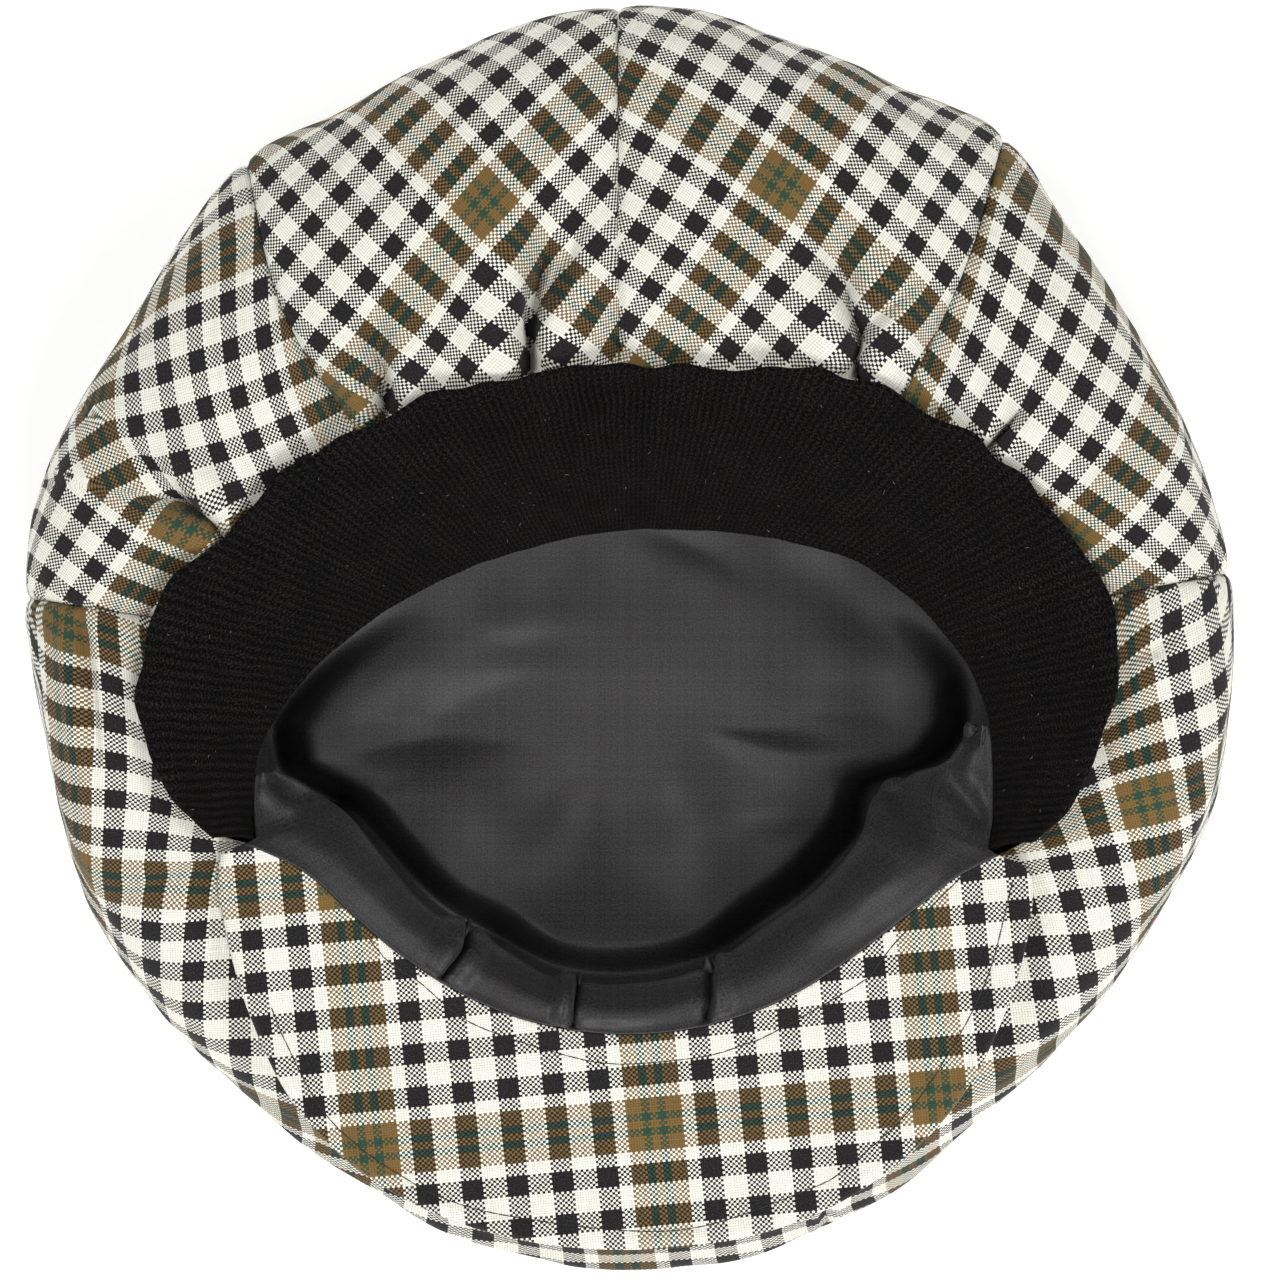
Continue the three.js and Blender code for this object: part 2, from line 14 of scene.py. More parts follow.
import bmesh
import bpy
import numpy as np
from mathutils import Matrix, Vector


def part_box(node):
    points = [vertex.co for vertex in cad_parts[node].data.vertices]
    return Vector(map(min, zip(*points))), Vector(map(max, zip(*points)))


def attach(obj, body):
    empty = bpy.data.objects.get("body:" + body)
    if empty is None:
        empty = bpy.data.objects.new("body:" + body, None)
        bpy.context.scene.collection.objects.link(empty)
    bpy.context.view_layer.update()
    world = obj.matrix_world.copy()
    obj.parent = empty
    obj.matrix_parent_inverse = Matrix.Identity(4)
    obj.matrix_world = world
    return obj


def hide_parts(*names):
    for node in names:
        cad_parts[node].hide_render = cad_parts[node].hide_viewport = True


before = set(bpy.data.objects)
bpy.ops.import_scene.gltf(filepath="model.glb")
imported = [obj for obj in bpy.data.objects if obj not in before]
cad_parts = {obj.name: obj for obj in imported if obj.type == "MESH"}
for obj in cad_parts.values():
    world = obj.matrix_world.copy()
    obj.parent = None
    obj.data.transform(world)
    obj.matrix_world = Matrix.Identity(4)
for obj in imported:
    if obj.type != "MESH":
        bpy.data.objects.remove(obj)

LOG = logging.getLogger("cap")
Array = np.ndarray
Point = tuple[float, float]
Waves = tuple[tuple[float, float, int], ...]
Colour = tuple[float, float, float, float]

MM = 0.001
FAR = 1e9
BODY = "root"
UV_MAP = "grain"
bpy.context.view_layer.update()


class Slot(Enum):
    """The material slots."""

    CHECK = "check_cloth"
    KNIT = "black_knit"
    SATIN = "charcoal_satin"


class Held(Enum):
    """How a sheet of cloth is held on the cap."""

    GATHERED = "gathered"
    STRETCHED = "stretched"
    FOLDED = "folded"


def lerp(start: Array, end: Array, share: Array) -> Array:
    """Goes from start to end as share goes from 0 to 1."""
    return start + (end - start) * share


def smoothstep(value: Array, low: float, high: float) -> Array:
    """Rises from 0 at low to 1 at high, smoothly."""
    share = np.clip((value - low) / (high - low), 0.0, 1.0)
    return share * share * (3.0 - 2.0 * share)


def bell(distance: Array, half_width: Array) -> Array:
    """Is 1 where the distance is 0, and falls to nothing on both sides."""
    return np.exp(-((distance / half_width) ** 2))


def unit(vectors: Array) -> Array:
    """Scales vectors in the last axis to length 1."""
    return vectors / np.maximum(np.linalg.norm(vectors, axis=-1, keepdims=True), 1e-9)


def wrap(bearing: Array, start: float) -> Array:
    """Brings a bearing into the turn that starts at the given bearing."""
    return start + np.mod(bearing - start, 360.0)


def grid_normals(points: Array) -> Array:
    """Finds the normals of a grid of points, from the steps along its columns and rows."""
    across = np.gradient(points, axis=0)
    along = np.gradient(points, axis=1)
    return unit(np.cross(across, along))


def blur(grid: Array, steps: Point) -> Array:
    """Smooths a grid along its columns and rows, and keeps its straight runs.

    Args:
        grid: columns by rows by values.
        steps: how far the smoothing reaches across columns and along rows, in grid steps.

    Returns:
        The smoothed grid, in the same shape.
    """
    for axis, reach in enumerate(steps):
        half = min(math.ceil(2.5 * reach), grid.shape[axis] - 1)
        weights = np.exp(-0.5 * (np.arange(-half, half + 1) / reach) ** 2)
        weights = weights / weights.sum()
        grid = np.moveaxis(grid, axis, 0)
        before = 2 * grid[:1] - grid[half:0:-1]
        after = 2 * grid[-1:] - grid[-2 : -half - 2 : -1]
        long = np.concatenate([before, grid, after])
        total = sum(weight * long[k : k + len(grid)] for k, weight in enumerate(weights))
        grid = np.moveaxis(total, 0, axis)
    return grid


def soft_noise(points: Array, wavelength: float, seed: int, waves: int = 14) -> Array:
    """Adds up plane waves with random headings into a smooth field of about -1 to 1.

    Args:
        points: places in millimetres, in the last axis.
        wavelength: the mean length of a wave, in millimetres.
        seed: fixes the waves.
        waves: how many there are.

    Returns:
        The field at each place.
    """
    draw = np.random.default_rng(seed)
    heading = unit(draw.normal(size=(waves, 3)))
    length = wavelength * draw.uniform(0.7, 1.5, waves)
    phase = draw.uniform(0, 2 * np.pi, waves)
    total = np.zeros(points.shape[:-1])
    for k in range(waves):
        total += np.sin(points @ heading[k] * (2 * np.pi / length[k]) + phase[k])
    return total / math.sqrt(waves)


def rough(points: Array, waves: Waves) -> Array:
    """Adds up soft noises, each with its amount, wavelength and seed."""
    return sum(amount * soft_noise(points, length, seed) for amount, length, seed in waves)


def run_along(points: Array) -> Array:
    """Adds up the way along the rows of a grid, from its first row."""
    steps = np.linalg.norm(np.diff(points, axis=1), axis=-1)
    return np.concatenate([np.zeros((len(points), 1)), np.cumsum(steps, axis=1)], axis=1)


def turn_by(degrees: float) -> Array:
    """Gives the matrix that turns places on flat cloth to its grain."""
    angle = math.radians(degrees)
    return np.array([[math.cos(angle), -math.sin(angle)], [math.sin(angle), math.cos(angle)]])


@dataclass(frozen=True)
class Table:
    """Sizes against bearings, read on the smooth curve through them."""

    rows: tuple[tuple[float, float], ...]
    closed: bool = True

    def at(self, bearing: Array) -> Array:
        """Reads the size at each bearing.

        Args:
            bearing: degrees, of any shape.

        Returns:
            The sizes, in the same shape.
        """
        places = np.array([row[0] for row in self.rows])
        values = np.array([row[1] for row in self.rows])
        bearing = np.asarray(bearing, dtype=float)
        if self.closed:
            place = wrap(bearing, places[0])
            left = np.searchsorted(places, place, side="right") - 1
            places = np.concatenate([[places[-1] - 360], places, places[:2] + 360])
            values = np.concatenate([[values[-1]], values, values[:2]])
        else:
            place = np.clip(bearing, places[0], places[-1])
            left = np.searchsorted(places, place, side="right") - 1
            left = np.minimum(left, len(places) - 2)
            places = np.concatenate([places[:1], places, places[-1:]])
            values = np.concatenate([values[:1], values, values[-1:]])
        x0, x1, x2, x3 = (places[left + k] for k in range(4))
        y0, y1, y2, y3 = (values[left + k] for k in range(4))
        span = x2 - x1
        share = (place - x1) / span
        start = (y2 - y0) / (x2 - x0) * span
        end = (y3 - y1) / (x3 - x1) * span
        return (
            (2 * share**3 - 3 * share**2 + 1) * y1
            + (share**3 - 2 * share**2 + share) * start
            + (3 * share**2 - 2 * share**3) * y2
            + (share**3 - share**2) * end
        )


def along_line(
    plan: Array, line: Sequence[Point], extend: bool = False
) -> tuple[Array, Array, Array]:
    """Finds where points lie beside a line, seen from above.

    Args:
        plan: x and y of the points in the last axis.
        line: the points of the line.
        extend: lets the line run on straight beyond both ends.

    Returns:
        How far each point lies to the left of the line, the share of the line's length that
        is beside it, and the line's left normal there.
    """
    flat = plan.reshape(-1, 2)
    best = np.full(len(flat), FAR)
    offset = np.zeros(len(flat))
    place = np.zeros(len(flat))
    aside = np.zeros((len(flat), 2))
    corners = np.array(line)
    lengths = np.linalg.norm(np.diff(corners, axis=0), axis=1)
    done, total = 0.0, lengths.sum()
    for number, length in enumerate(lengths):
        start = corners[number]
        course = (corners[number + 1] - start) / length
        normal = np.array([-course[1], course[0]])
        to = flat - start
        along = to @ course
        first = -FAR if extend and number == 0 else 0.0
        last = FAR if extend and number == len(lengths) - 1 else length
        held = np.clip(along, first, last)
        away = np.linalg.norm(to - held[:, None] * course, axis=1)
        near = away < best
        best = np.where(near, away, best)
        side = np.where(to @ normal >= 0, 1.0, -1.0)
        offset = np.where(near, away * side, offset)
        place = np.where(near, (done + along) / total, place)
        aside[near] = normal
        done += length
    shape = plan.shape[:-1]
    return offset.reshape(shape), place.reshape(shape), aside.reshape(plan.shape)


# Where a fold's ridges and its lean are, and how wide its ridges are, in widths of the fold
RIDGE_PLACE = 1.9
LEAN_PLACE = 1.3
RIDGE_WIDTH = 1.25


@dataclass(frozen=True)
class Crease:
    """A fold that follows a line seen from above, in millimetres.

    Its valley lies on the line. Left and right are seen along the line's course, and a side
    that has a ridge stands up there by its share of the depth. The sides lean over the
    valley by lean, it is flare times as wide at its start, and it fades in and out over
    shares of its length.
    """

    line: tuple[Point, ...]
    depth: float
    width: float
    left: float = 0.35
    right: float = 0.35
    lean: float = 0.0
    flare: float = 1.0
    fade_in: float = 0.5
    fade_out: float = 0.0

    def on(self, plan: Array) -> tuple[Array, Array]:
        """Finds how the fold moves points of the cloth.

        Args:
            plan: x and y of the points in the last axis.

        Returns:
            How far each point rises, and its move in x and y.
        """
        offset, place, aside = along_line(plan, self.line)
        strength = smoothstep(place, 0.0, max(self.fade_in, 1e-3))
        if self.fade_out > 0:
            strength = strength * (1 - smoothstep(place, 1 - self.fade_out, 1.0))
        width = self.width * lerp(self.flare, 1.0, np.clip(place, 0, 1))
        rise = -bell(offset, width)
        for side, share in ((1, self.left), (-1, self.right)):
            from_ridge = offset - side * RIDGE_PLACE * width
            rise = rise + share * bell(from_ridge, RIDGE_WIDTH * width)
        over = -np.sign(offset) * bell(np.abs(offset) - LEAN_PLACE * width, width)
        move = aside * (self.lean * strength * over)[..., None]
        return self.depth * strength * rise, move


@dataclass(frozen=True)
class Dart:
    """A fold that hides a wedge of cloth, from its tip at the start of its line.

    The threads on the right of the line are turned about the tip, in degrees.
    """

    line: tuple[Point, ...]
    turn: float
    half_width: float = 1.6

    def hide(self, plan: Array, flat: Array) -> Array:
        """Turns the threads beyond the fold.

        Args:
            plan: x and y of the points as they lie.
            flat: their places on the cloth.

        Returns:
            The places with the wedge taken out.
        """
        offset, _, _ = along_line(plan, self.line, extend=True)
        share = smoothstep(-offset, -self.half_width, self.half_width)
        away = np.linalg.norm(plan - np.array(self.line[0]), axis=-1)
        tip = flat.reshape(-1, 2)[int(np.argmin(away))]
        angle = np.radians(self.turn) * share
        x, y = flat[..., 0] - tip[0], flat[..., 1] - tip[1]
        cosine, sine = np.cos(angle), np.sin(angle)
        return tip + np.stack([x * cosine - y * sine, x * sine + y * cosine], axis=-1)


def apply_creases(points: Array, creases: Sequence[Crease], mask: Array) -> Array:
    """Folds a grid of points, as far as the mask lets it.

    Args:
        points: the grid, in millimetres.
        creases: its folds.
        mask: from 0 to 1, how much each point may move.

    Returns:
        The folded grid.
    """
    normals = grid_normals(points)
    normals = np.where(normals[..., 2:] < 0, -normals, normals)
    plan = (points + SHIFT)[..., :2]
    rise = np.zeros(mask.shape)
    move = np.zeros(points.shape)
    for crease in creases:
        up, aside = crease.on(plan)
        rise += up
        move[..., :2] += aside
    return points + normals * (rise * mask)[..., None] + move * mask[..., None]


def smooth_line(line: Sequence[Point], steps: int = 10) -> Array:
    """Rounds a line through its points.

    Args:
        line: its points.
        steps: how many steps go between two of them.

    Returns:
        The points of the rounded line.
    """
    at = np.linspace(0, len(line) - 1, (len(line) - 1) * steps + 1)
    courses = [Table(tuple(enumerate(values)), closed=False) for values in zip(*line)]
    return np.stack([course.at(at) for course in courses], axis=-1)


@dataclass(frozen=True)
class CapForm:
    """The form that all pieces of the cap share, with the sizes of the part's source."""

    knit: float = 3.0
    facing: float = 1.2
    peak_cloth: float = 1.6
    gap: float = 0.3
    flat_margin: float = 34.0
    crest_power: float = 2.3
    button_radius: float = 9.0
    mouth_centre_y: float = -15.0
    band_slope: float = 0.78
    facing_slope: float = 0.62
    front_turn: Point = (110.0, 118.0)
    cloth_tuck: float = 4.0
    peak_ends: Point = (112.8, 249.6)
    peak_sag: float = 1.2
    peak_margin: float = 4.0
    band_ends: tuple[Point, Point] = ((-108.0, -110.2), (109.0, 112.4))
    band_swell: Point = (0.9, 1.44)
    lining_tuck: Point = (10.0, 4.0)
    lining_clear: float = 0.8
    lining_floor: float = 5.5
    lining_power: float = 7.0
    outline: Table = Table((
        (-180, 146.2), (-166, 144.7), (-154, 140.8), (-140, 138.4), (-118, 139.2), (-100, 136.9),
        (-86.5, 139.4), (-75, 139.9), (-58, 135.9), (-38, 140.6), (-27, 138.1), (-12, 142.2),
        (0, 146.0), (14, 142.3), (25, 140.8), (37, 143.6), (47, 137.9), (60, 135.9), (75, 137.4),
        (86.5, 138.7), (104, 139.5), (123, 136.7), (143, 137.5), (162, 144.1),
    ))
    widest: Table = Table((
        (-180, 27), (-166, 27), (-154, 28), (-140, 29), (-118, 31), (-100, 33), (-86.5, 33),
        (-75, 33), (-58, 32), (-38, 31), (-27, 31), (-12, 30), (0, 29), (14, 30), (25, 31),
        (37, 31), (47, 32), (60, 32), (75, 33), (86.5, 33), (104, 32), (123, 31), (143, 29),
        (162, 27),
    ))
    section_mouth: Table = Table((
        (-180, -180), (-115, -109.5), (-86.5, -80), (-39.2, -45), (-1.2, -2), (37, 41.7),
        (84, 77.5), (115, 109), (180, 180),
    ), closed=False)
    section_bow: Table = Table((
        (-180, 0), (-115, 0), (-86.5, 0), (-39.2, -6), (-1.2, 0), (37, 3), (84, 0), (115, 0),
        (180, 0),
    ), closed=False)
    mouth_rim: Table = Table((
        (-180, 76.2), (-160, 76.8), (-140, 78.0), (-124, 81.0), (-117, 84.6), (-111.3, 92.0),
        (-108.5, 98.8), (-102, 106.0), (-88, 110.8), (-78, 108.8), (-67, 98.0), (-55, 91.6),
        (-40, 83.8), (-20, 77.6), (0, 75.5), (15, 76.6), (35, 88.2), (55, 98.4), (72, 107.2),
        (84, 111.0), (97, 106.0), (109, 97.6), (113.5, 90.0), (120, 83.4), (135, 78.0),
        (158, 76.4),
    ))
    mouth_top: Table = Table((
        (-180, 57), (-160, 57.5), (-140, 59), (-124, 60.5), (-117, 61.3), (-111.3, 61.9),
        (-108.5, 62.2), (-102, 62.9), (-88, 64), (-78, 64.5), (-67, 65), (-55, 65.5), (-40, 66),
        (-20, 66), (0, 66), (15, 66), (35, 66), (55, 65.5), (72, 65), (84, 64.5), (97, 63.5),
        (109, 62.2), (113.5, 61.6), (120, 61), (135, 59), (158, 57.5),
    ))
    band_inner: Table = Table((
        (-111, 91.6), (-99, 86.6), (-90, 78.8), (-75, 64.0), (-60, 53.0), (-45, 45.5),
        (-25, 40.4), (0, 39.1), (25, 43.0), (45, 51.6), (60, 61.8), (75, 71.6), (90, 81.0),
        (100, 84.3), (113.5, 89.0),
    ), closed=False)
    facing_free: Table = Table((
        (94, 78.6), (101, 73.6), (109, 61.4), (120, 61.2), (135, 60.6), (150, 60.2),
        (165, 63.4), (180, 64.8), (195, 65.8), (210, 63.6), (222, 66.0), (240, 67.4),
        (250, 71.2), (259, 83.0),
    ), closed=False)
    peak_edge: Table = Table((
        (112.8, 98.6), (114, 100.6), (119, 104.4), (130, 111.5), (140, 118.0), (150, 122.4),
        (162, 125.3), (180, 125.8), (196, 126.0), (209, 124.4), (220, 120.0), (230, 113.2),
        (241, 106.0), (246, 103.2), (249.6, 99.8),
    ), closed=False)
    peak_rim_height: Table = Table((
        (112.8, 61.8), (114, 61.4), (119, 60), (130, 57.5), (140, 54.5), (150, 51.5), (162, 49),
        (180, 48), (196, 49), (209, 51.5), (220, 54.5), (230, 57.5), (241, 60), (246, 61.4),
        (249.6, 61.8),
    ), closed=False)

    @property
    def peak_depth(self) -> float:
        """The depth of the peak's two cloths together."""
        return 2 * self.peak_cloth + self.gap

    def around_mouth(self, bearing: Array, radius: Array, height: Array) -> Array:
        """Places points at bearings and radii round the middle of the head opening."""
        angle = np.radians(bearing)
        flat = [radius * np.sin(angle), self.mouth_centre_y + radius * np.cos(angle), height]
        return np.stack(np.broadcast_arrays(*flat), axis=-1)

    def to_mouth(self, plan: Array) -> tuple[Array, Array]:
        """Gives the bearing and radius of points round the middle of the head opening."""
        x, y = plan[..., 0], plan[..., 1] - self.mouth_centre_y
        return np.degrees(np.arctan2(x, y)), np.hypot(x, y)

    def at_mouth(self, bearing: Array) -> dict[str, Array]:
        """Reads the rim of the head opening.

        Args:
            bearing: degrees round the opening's middle.

        Returns:
            The rim's radius and height, the slope and wall of what lines it, and how far the
            place belongs to the front.
        """
        front = smoothstep(np.abs(wrap(bearing, -180)), *self.front_turn)
        return {
            "rim": self.mouth_rim.at(bearing),
            "top": self.mouth_top.at(bearing),
            "slope": lerp(self.band_slope, self.facing_slope, front),
            "wall": lerp(self.knit, self.facing, front),
            "front": front,
        }

    def under_strip(self, bearing: Array, distance: Array, clearance: float) -> Array:
        """Finds points under the strip that lines the opening, at a distance in from the rim."""
        mouth = self.at_mouth(bearing)
        run = 1 / np.hypot(1, mouth["slope"])
        drop = mouth["slope"] * run
        depth = mouth["wall"] + clearance
        radius = mouth["rim"] - run * distance + drop * depth
        return self.around_mouth(bearing, radius, mouth["top"] - drop * distance - run * depth)

    def peak_height(self, bearing: Array, share: Array) -> Array:
        """Gives the height of the peak's upper face, a share of the way to its edge."""
        top = self.mouth_top.at(bearing)
        height = self.peak_rim_height.at(wrap(bearing, 90))
        return lerp(top, height, share) - self.peak_sag * share * (1 - share)

    def peak_face(self, bearing: Array, share: Array) -> Array:
        """Places points on the peak's upper face, a share of the way to its edge."""
        rim = self.mouth_rim.at(bearing) + self.gap / 2
        radius = lerp(rim, self.peak_edge.at(wrap(bearing, 90)), share)
        return self.around_mouth(bearing, radius, self.peak_height(bearing, share))

    def peak_underside(self, points: Array) -> Array:
        """Gives the height that the peak leaves free over points, or a great height."""
        bearing, radius = self.to_mouth(points)
        bearing = wrap(bearing, 90)
        edge = self.peak_edge.at(bearing)
        rim = self.mouth_rim.at(bearing)
        share = np.clip((radius - rim) / (edge - rim), 0, 1)
        height = self.peak_height(bearing, share) - self.peak_depth - self.gap
        clear = (
            (bearing < self.peak_ends[0] - self.peak_margin)
            | (bearing > self.peak_ends[1] + self.peak_margin)
            | (radius > edge + self.peak_margin)
        )
        return np.where(clear, FAR, height)

    def crown_base(self, bearing: Array, row: Array) -> Array:
        """Places points on the crown without its folds.

        Args:
            bearing: degrees round the crown's middle.
            row: 0 to 1 is the flat that rests, 1 to 2 the side up to the widest line, and 2
                to 3 goes over the crest to the head opening.

        Returns:
            The points.
        """
        bearing, row = np.broadcast_arrays(bearing, row)
        outline = self.outline.at(bearing)
        widest = self.widest.at(bearing)
        flat = outline - self.flat_margin
        angle = np.radians(bearing)
        out = np.stack([np.sin(angle), np.cos(angle), np.zeros_like(angle)], axis=-1)
        bottom = out * lerp(self.button_radius + self.gap, flat, np.clip(row, 0, 1))[..., None]

        turn = np.clip(row - 1, 0, 1) * np.pi / 2
        side = out * lerp(flat, outline, np.sin(turn))[..., None]
        side[..., 2] = widest * (1 - np.cos(turn))

        turn = np.clip(row - 2, 0, 1) * np.pi / 2
        inward = 1 - np.abs(np.cos(turn)) ** (2 / self.crest_power)
        rise = np.abs(np.sin(turn)) ** (2 / self.crest_power)
        mouth_bearing = self.section_mouth.at(wrap(bearing, -180))
        mouth = self.at_mouth(mouth_bearing)
        front = mouth["front"]
        end = self.under_strip(mouth_bearing, lerp(self.cloth_tuck, 0, front), self.gap)
        seat = self.around_mouth(
            mouth_bearing, mouth["rim"] + 1, mouth["top"] - self.peak_depth - self.gap
        )
        end = lerp(end, seat, front[..., None])
        bow = self.section_bow.at(wrap(bearing, -180)) * np.sin(np.pi * inward)
        aside = np.stack([np.cos(angle), -np.sin(angle), np.zeros_like(angle)], axis=-1)
        over = lerp(out * outline[..., None], end, inward[..., None]) + aside * bow[..., None]
        over[..., 2] = lerp(widest, end[..., 2], rise)

        row = row[..., None]
        return np.where(row <= 1, bottom, np.where(row <= 2, side, over))

    def band_face(self, bearing: Array, row: Array) -> Array:
        """Places points on the knit band's face, from its fold at the rim to its inner edge."""
        mouth = self.at_mouth(bearing)
        inner = self.band_inner.at(bearing)
        swell = np.sin(np.pi * np.clip(row, 0, 1))
        low = mouth["top"] - self.band_slope * (mouth["rim"] - inner)
        radius = lerp(mouth["rim"], inner, row) - self.band_swell[0] * swell
        height = lerp(mouth["top"], low, row) + self.band_swell[1] * swell
        return self.around_mouth(bearing, radius, height)

    def facing_seat(self, bearing: Array) -> tuple[Array, Array]:
        """Gives the radius and height where the satin facing is sewn in."""
        mouth = self.at_mouth(bearing)
        inner = self.band_inner.at(wrap(bearing, -180))
        left, right = (end[1] for end in self.band_ends)
        beside = (bearing < right) | (bearing > 360 + left)
        seat = np.where(beside, np.minimum(inner, mouth["rim"]), mouth["rim"])
        return seat - self.gap, mouth["top"] - self.band_slope * (mouth["rim"] - seat)

    def lining_face(self, u: Array, v: Array) -> Array:
        """Places points on the lining bag, whose u and v run from 0 to 1 across a square."""
        a, b = np.broadcast_arrays(2 * u - 1, 2 * v - 1)
        dx = a * np.sqrt(np.maximum(1 - b * b / 2, 0))
        dy = b * np.sqrt(np.maximum(1 - a * a / 2, 0))
        share = np.minimum(np.hypot(dx, dy), 1)
        bearing = np.degrees(np.arctan2(dx, dy))
        front = self.at_mouth(bearing)["front"]
        tuck = lerp(self.lining_tuck[0], self.lining_tuck[1], front)
        rim = self.under_strip(bearing, tuck, self.lining_clear)
        across = share * np.hypot(rim[..., 0], rim[..., 1] - self.mouth_centre_y)
        height = lerp(self.lining_floor, rim[..., 2], share**self.lining_power)
        return self.around_mouth(bearing, across, height)


FORM = CapForm()


def frame_shift() -> Array:
    """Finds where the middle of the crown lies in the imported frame, in millimetres."""
    low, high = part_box("crown_button")
    return np.array([(low[0] + high[0]) / 2, (low[1] + high[1]) / 2, 0.0]) / MM


SHIFT = frame_shift()


def add_object(name: str, data: bpy.types.ID) -> bpy.types.Object:
    """Makes an object of its data, linked to the scene."""
    piece = bpy.data.objects.new(name, data)
    bpy.context.scene.collection.objects.link(piece)
    return piece


def make_grid(
    name: str,
    points: Array,
    pattern: Array,
    values: Optional[dict[str, Array]] = None,
    round_rows: bool = False,
    flip: bool = False,
) -> bpy.types.Object:
    """Makes a mesh of quads from a grid of points.

    Args:
        name: the piece's name.
        points: the grid in millimetres, columns by rows.
        pattern: the cloth's own place of each point, in millimetres, for its UV map.
        values: numbers for each point, kept as named attributes.
        round_rows: joins the last row to the first.
        flip: turns the faces round.

    Returns:
        The new object, linked to the scene.
    """
    columns, rows = points.shape[:2]
    index = np.arange(columns * rows).reshape(columns, rows)
    if round_rows:
        index = np.concatenate([index, index[:, :1]], axis=1)
    quads = np.stack(
        [index[:-1, :-1], index[1:, :-1], index[1:, 1:], index[:-1, 1:]], axis=-1
    ).reshape(-1, 4)
    if flip:
        quads = quads[:, ::-1]
    mesh = bpy.data.meshes.new(name)
    places = (points.reshape(-1, 3) + SHIFT) * MM
    mesh.from_pydata(places.tolist(), [], quads.tolist())
    mesh.polygons.foreach_set("use_smooth", np.ones(len(mesh.polygons), dtype=bool))
    corners = np.zeros(len(mesh.loops), dtype=np.int32)
    mesh.loops.foreach_get("vertex_index", corners)
    uv = mesh.uv_layers.new(name=UV_MAP)
    uv.data.foreach_set("uv", pattern.reshape(-1, 2)[corners].astype(np.float32).ravel())
    for key, value in (values or {}).items():
        layer = mesh.attributes.new(key, "FLOAT", "POINT")
        layer.data.foreach_set("value", value.astype(np.float32).ravel())
    mesh.update()
    return add_object(name, mesh)


def thicken(piece: bpy.types.Object, wall: float) -> None:
    """Gives a sheet its wall, in millimetres, behind its face."""
    solid = piece.modifiers.new("wall", "SOLIDIFY")
    solid.thickness = wall * MM
    solid.offset = -1.0
    solid.use_even_offset = False


def mend(piece: bpy.types.Object, weld: float = 0.0) -> None:
    """Welds points of a mesh within a distance in millimetres, or else fills its open ends.

    Args:
        piece: whose mesh it is.
        weld: the distance, or 0 to fill.
    """
    mesh = bmesh.new()
    mesh.from_mesh(piece.data)
    if weld:
        bmesh.ops.remove_doubles(mesh, verts=mesh.verts, dist=weld * MM)
    else:
        border = [edge for edge in mesh.edges if edge.is_boundary]
        bmesh.ops.holes_fill(mesh, edges=border, sides=0)
    bmesh.ops.recalc_face_normals(mesh, faces=mesh.faces)
    mesh.to_mesh(piece.data)
    mesh.free()


def grid_area(points: Array) -> float:
    """Adds up the area of a grid of points, in square metres."""
    one = points[1:, 1:] - points[:-1, :-1]
    two = points[1:, :-1] - points[:-1, 1:]
    return float(np.linalg.norm(np.cross(one, two), axis=-1).sum() / 2) * MM * MM


def fasten(piece: bpy.types.Object, slot: Slot, *nodes: str) -> None:
    """Makes a piece ride on the cap and stand for its nodes, which it hides."""
    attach(piece, BODY)
    if nodes:
        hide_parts(*nodes)


def dress(piece: bpy.types.Object, material: bpy.types.Material) -> None:
    """Gives a piece one material."""
    piece.data.materials.clear()
    piece.data.materials.append(material)


def make_cloth(
    node: str,
    points: Array,
    pattern: Array,
    wall: float,
    look: tuple[bpy.types.Material, Slot],
    flip: bool = False,
) -> bpy.types.Object:
    """Makes the cloth that stands for a node.

    Args:
        node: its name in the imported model.
        points: the cloth's face, a grid in millimetres.
        pattern: the cloth's own place of each point, in millimetres.
        wall: how thick it is, in millimetres.
        look: its material and slot.
        flip: turns its face round.

    Returns:
        The dressed piece.
    """
    piece = make_grid(node + "_cloth", points, pattern, flip=flip)
    thicken(piece, wall)
    dress(piece, look[0])
    fasten(piece, look[1], node)
    return piece


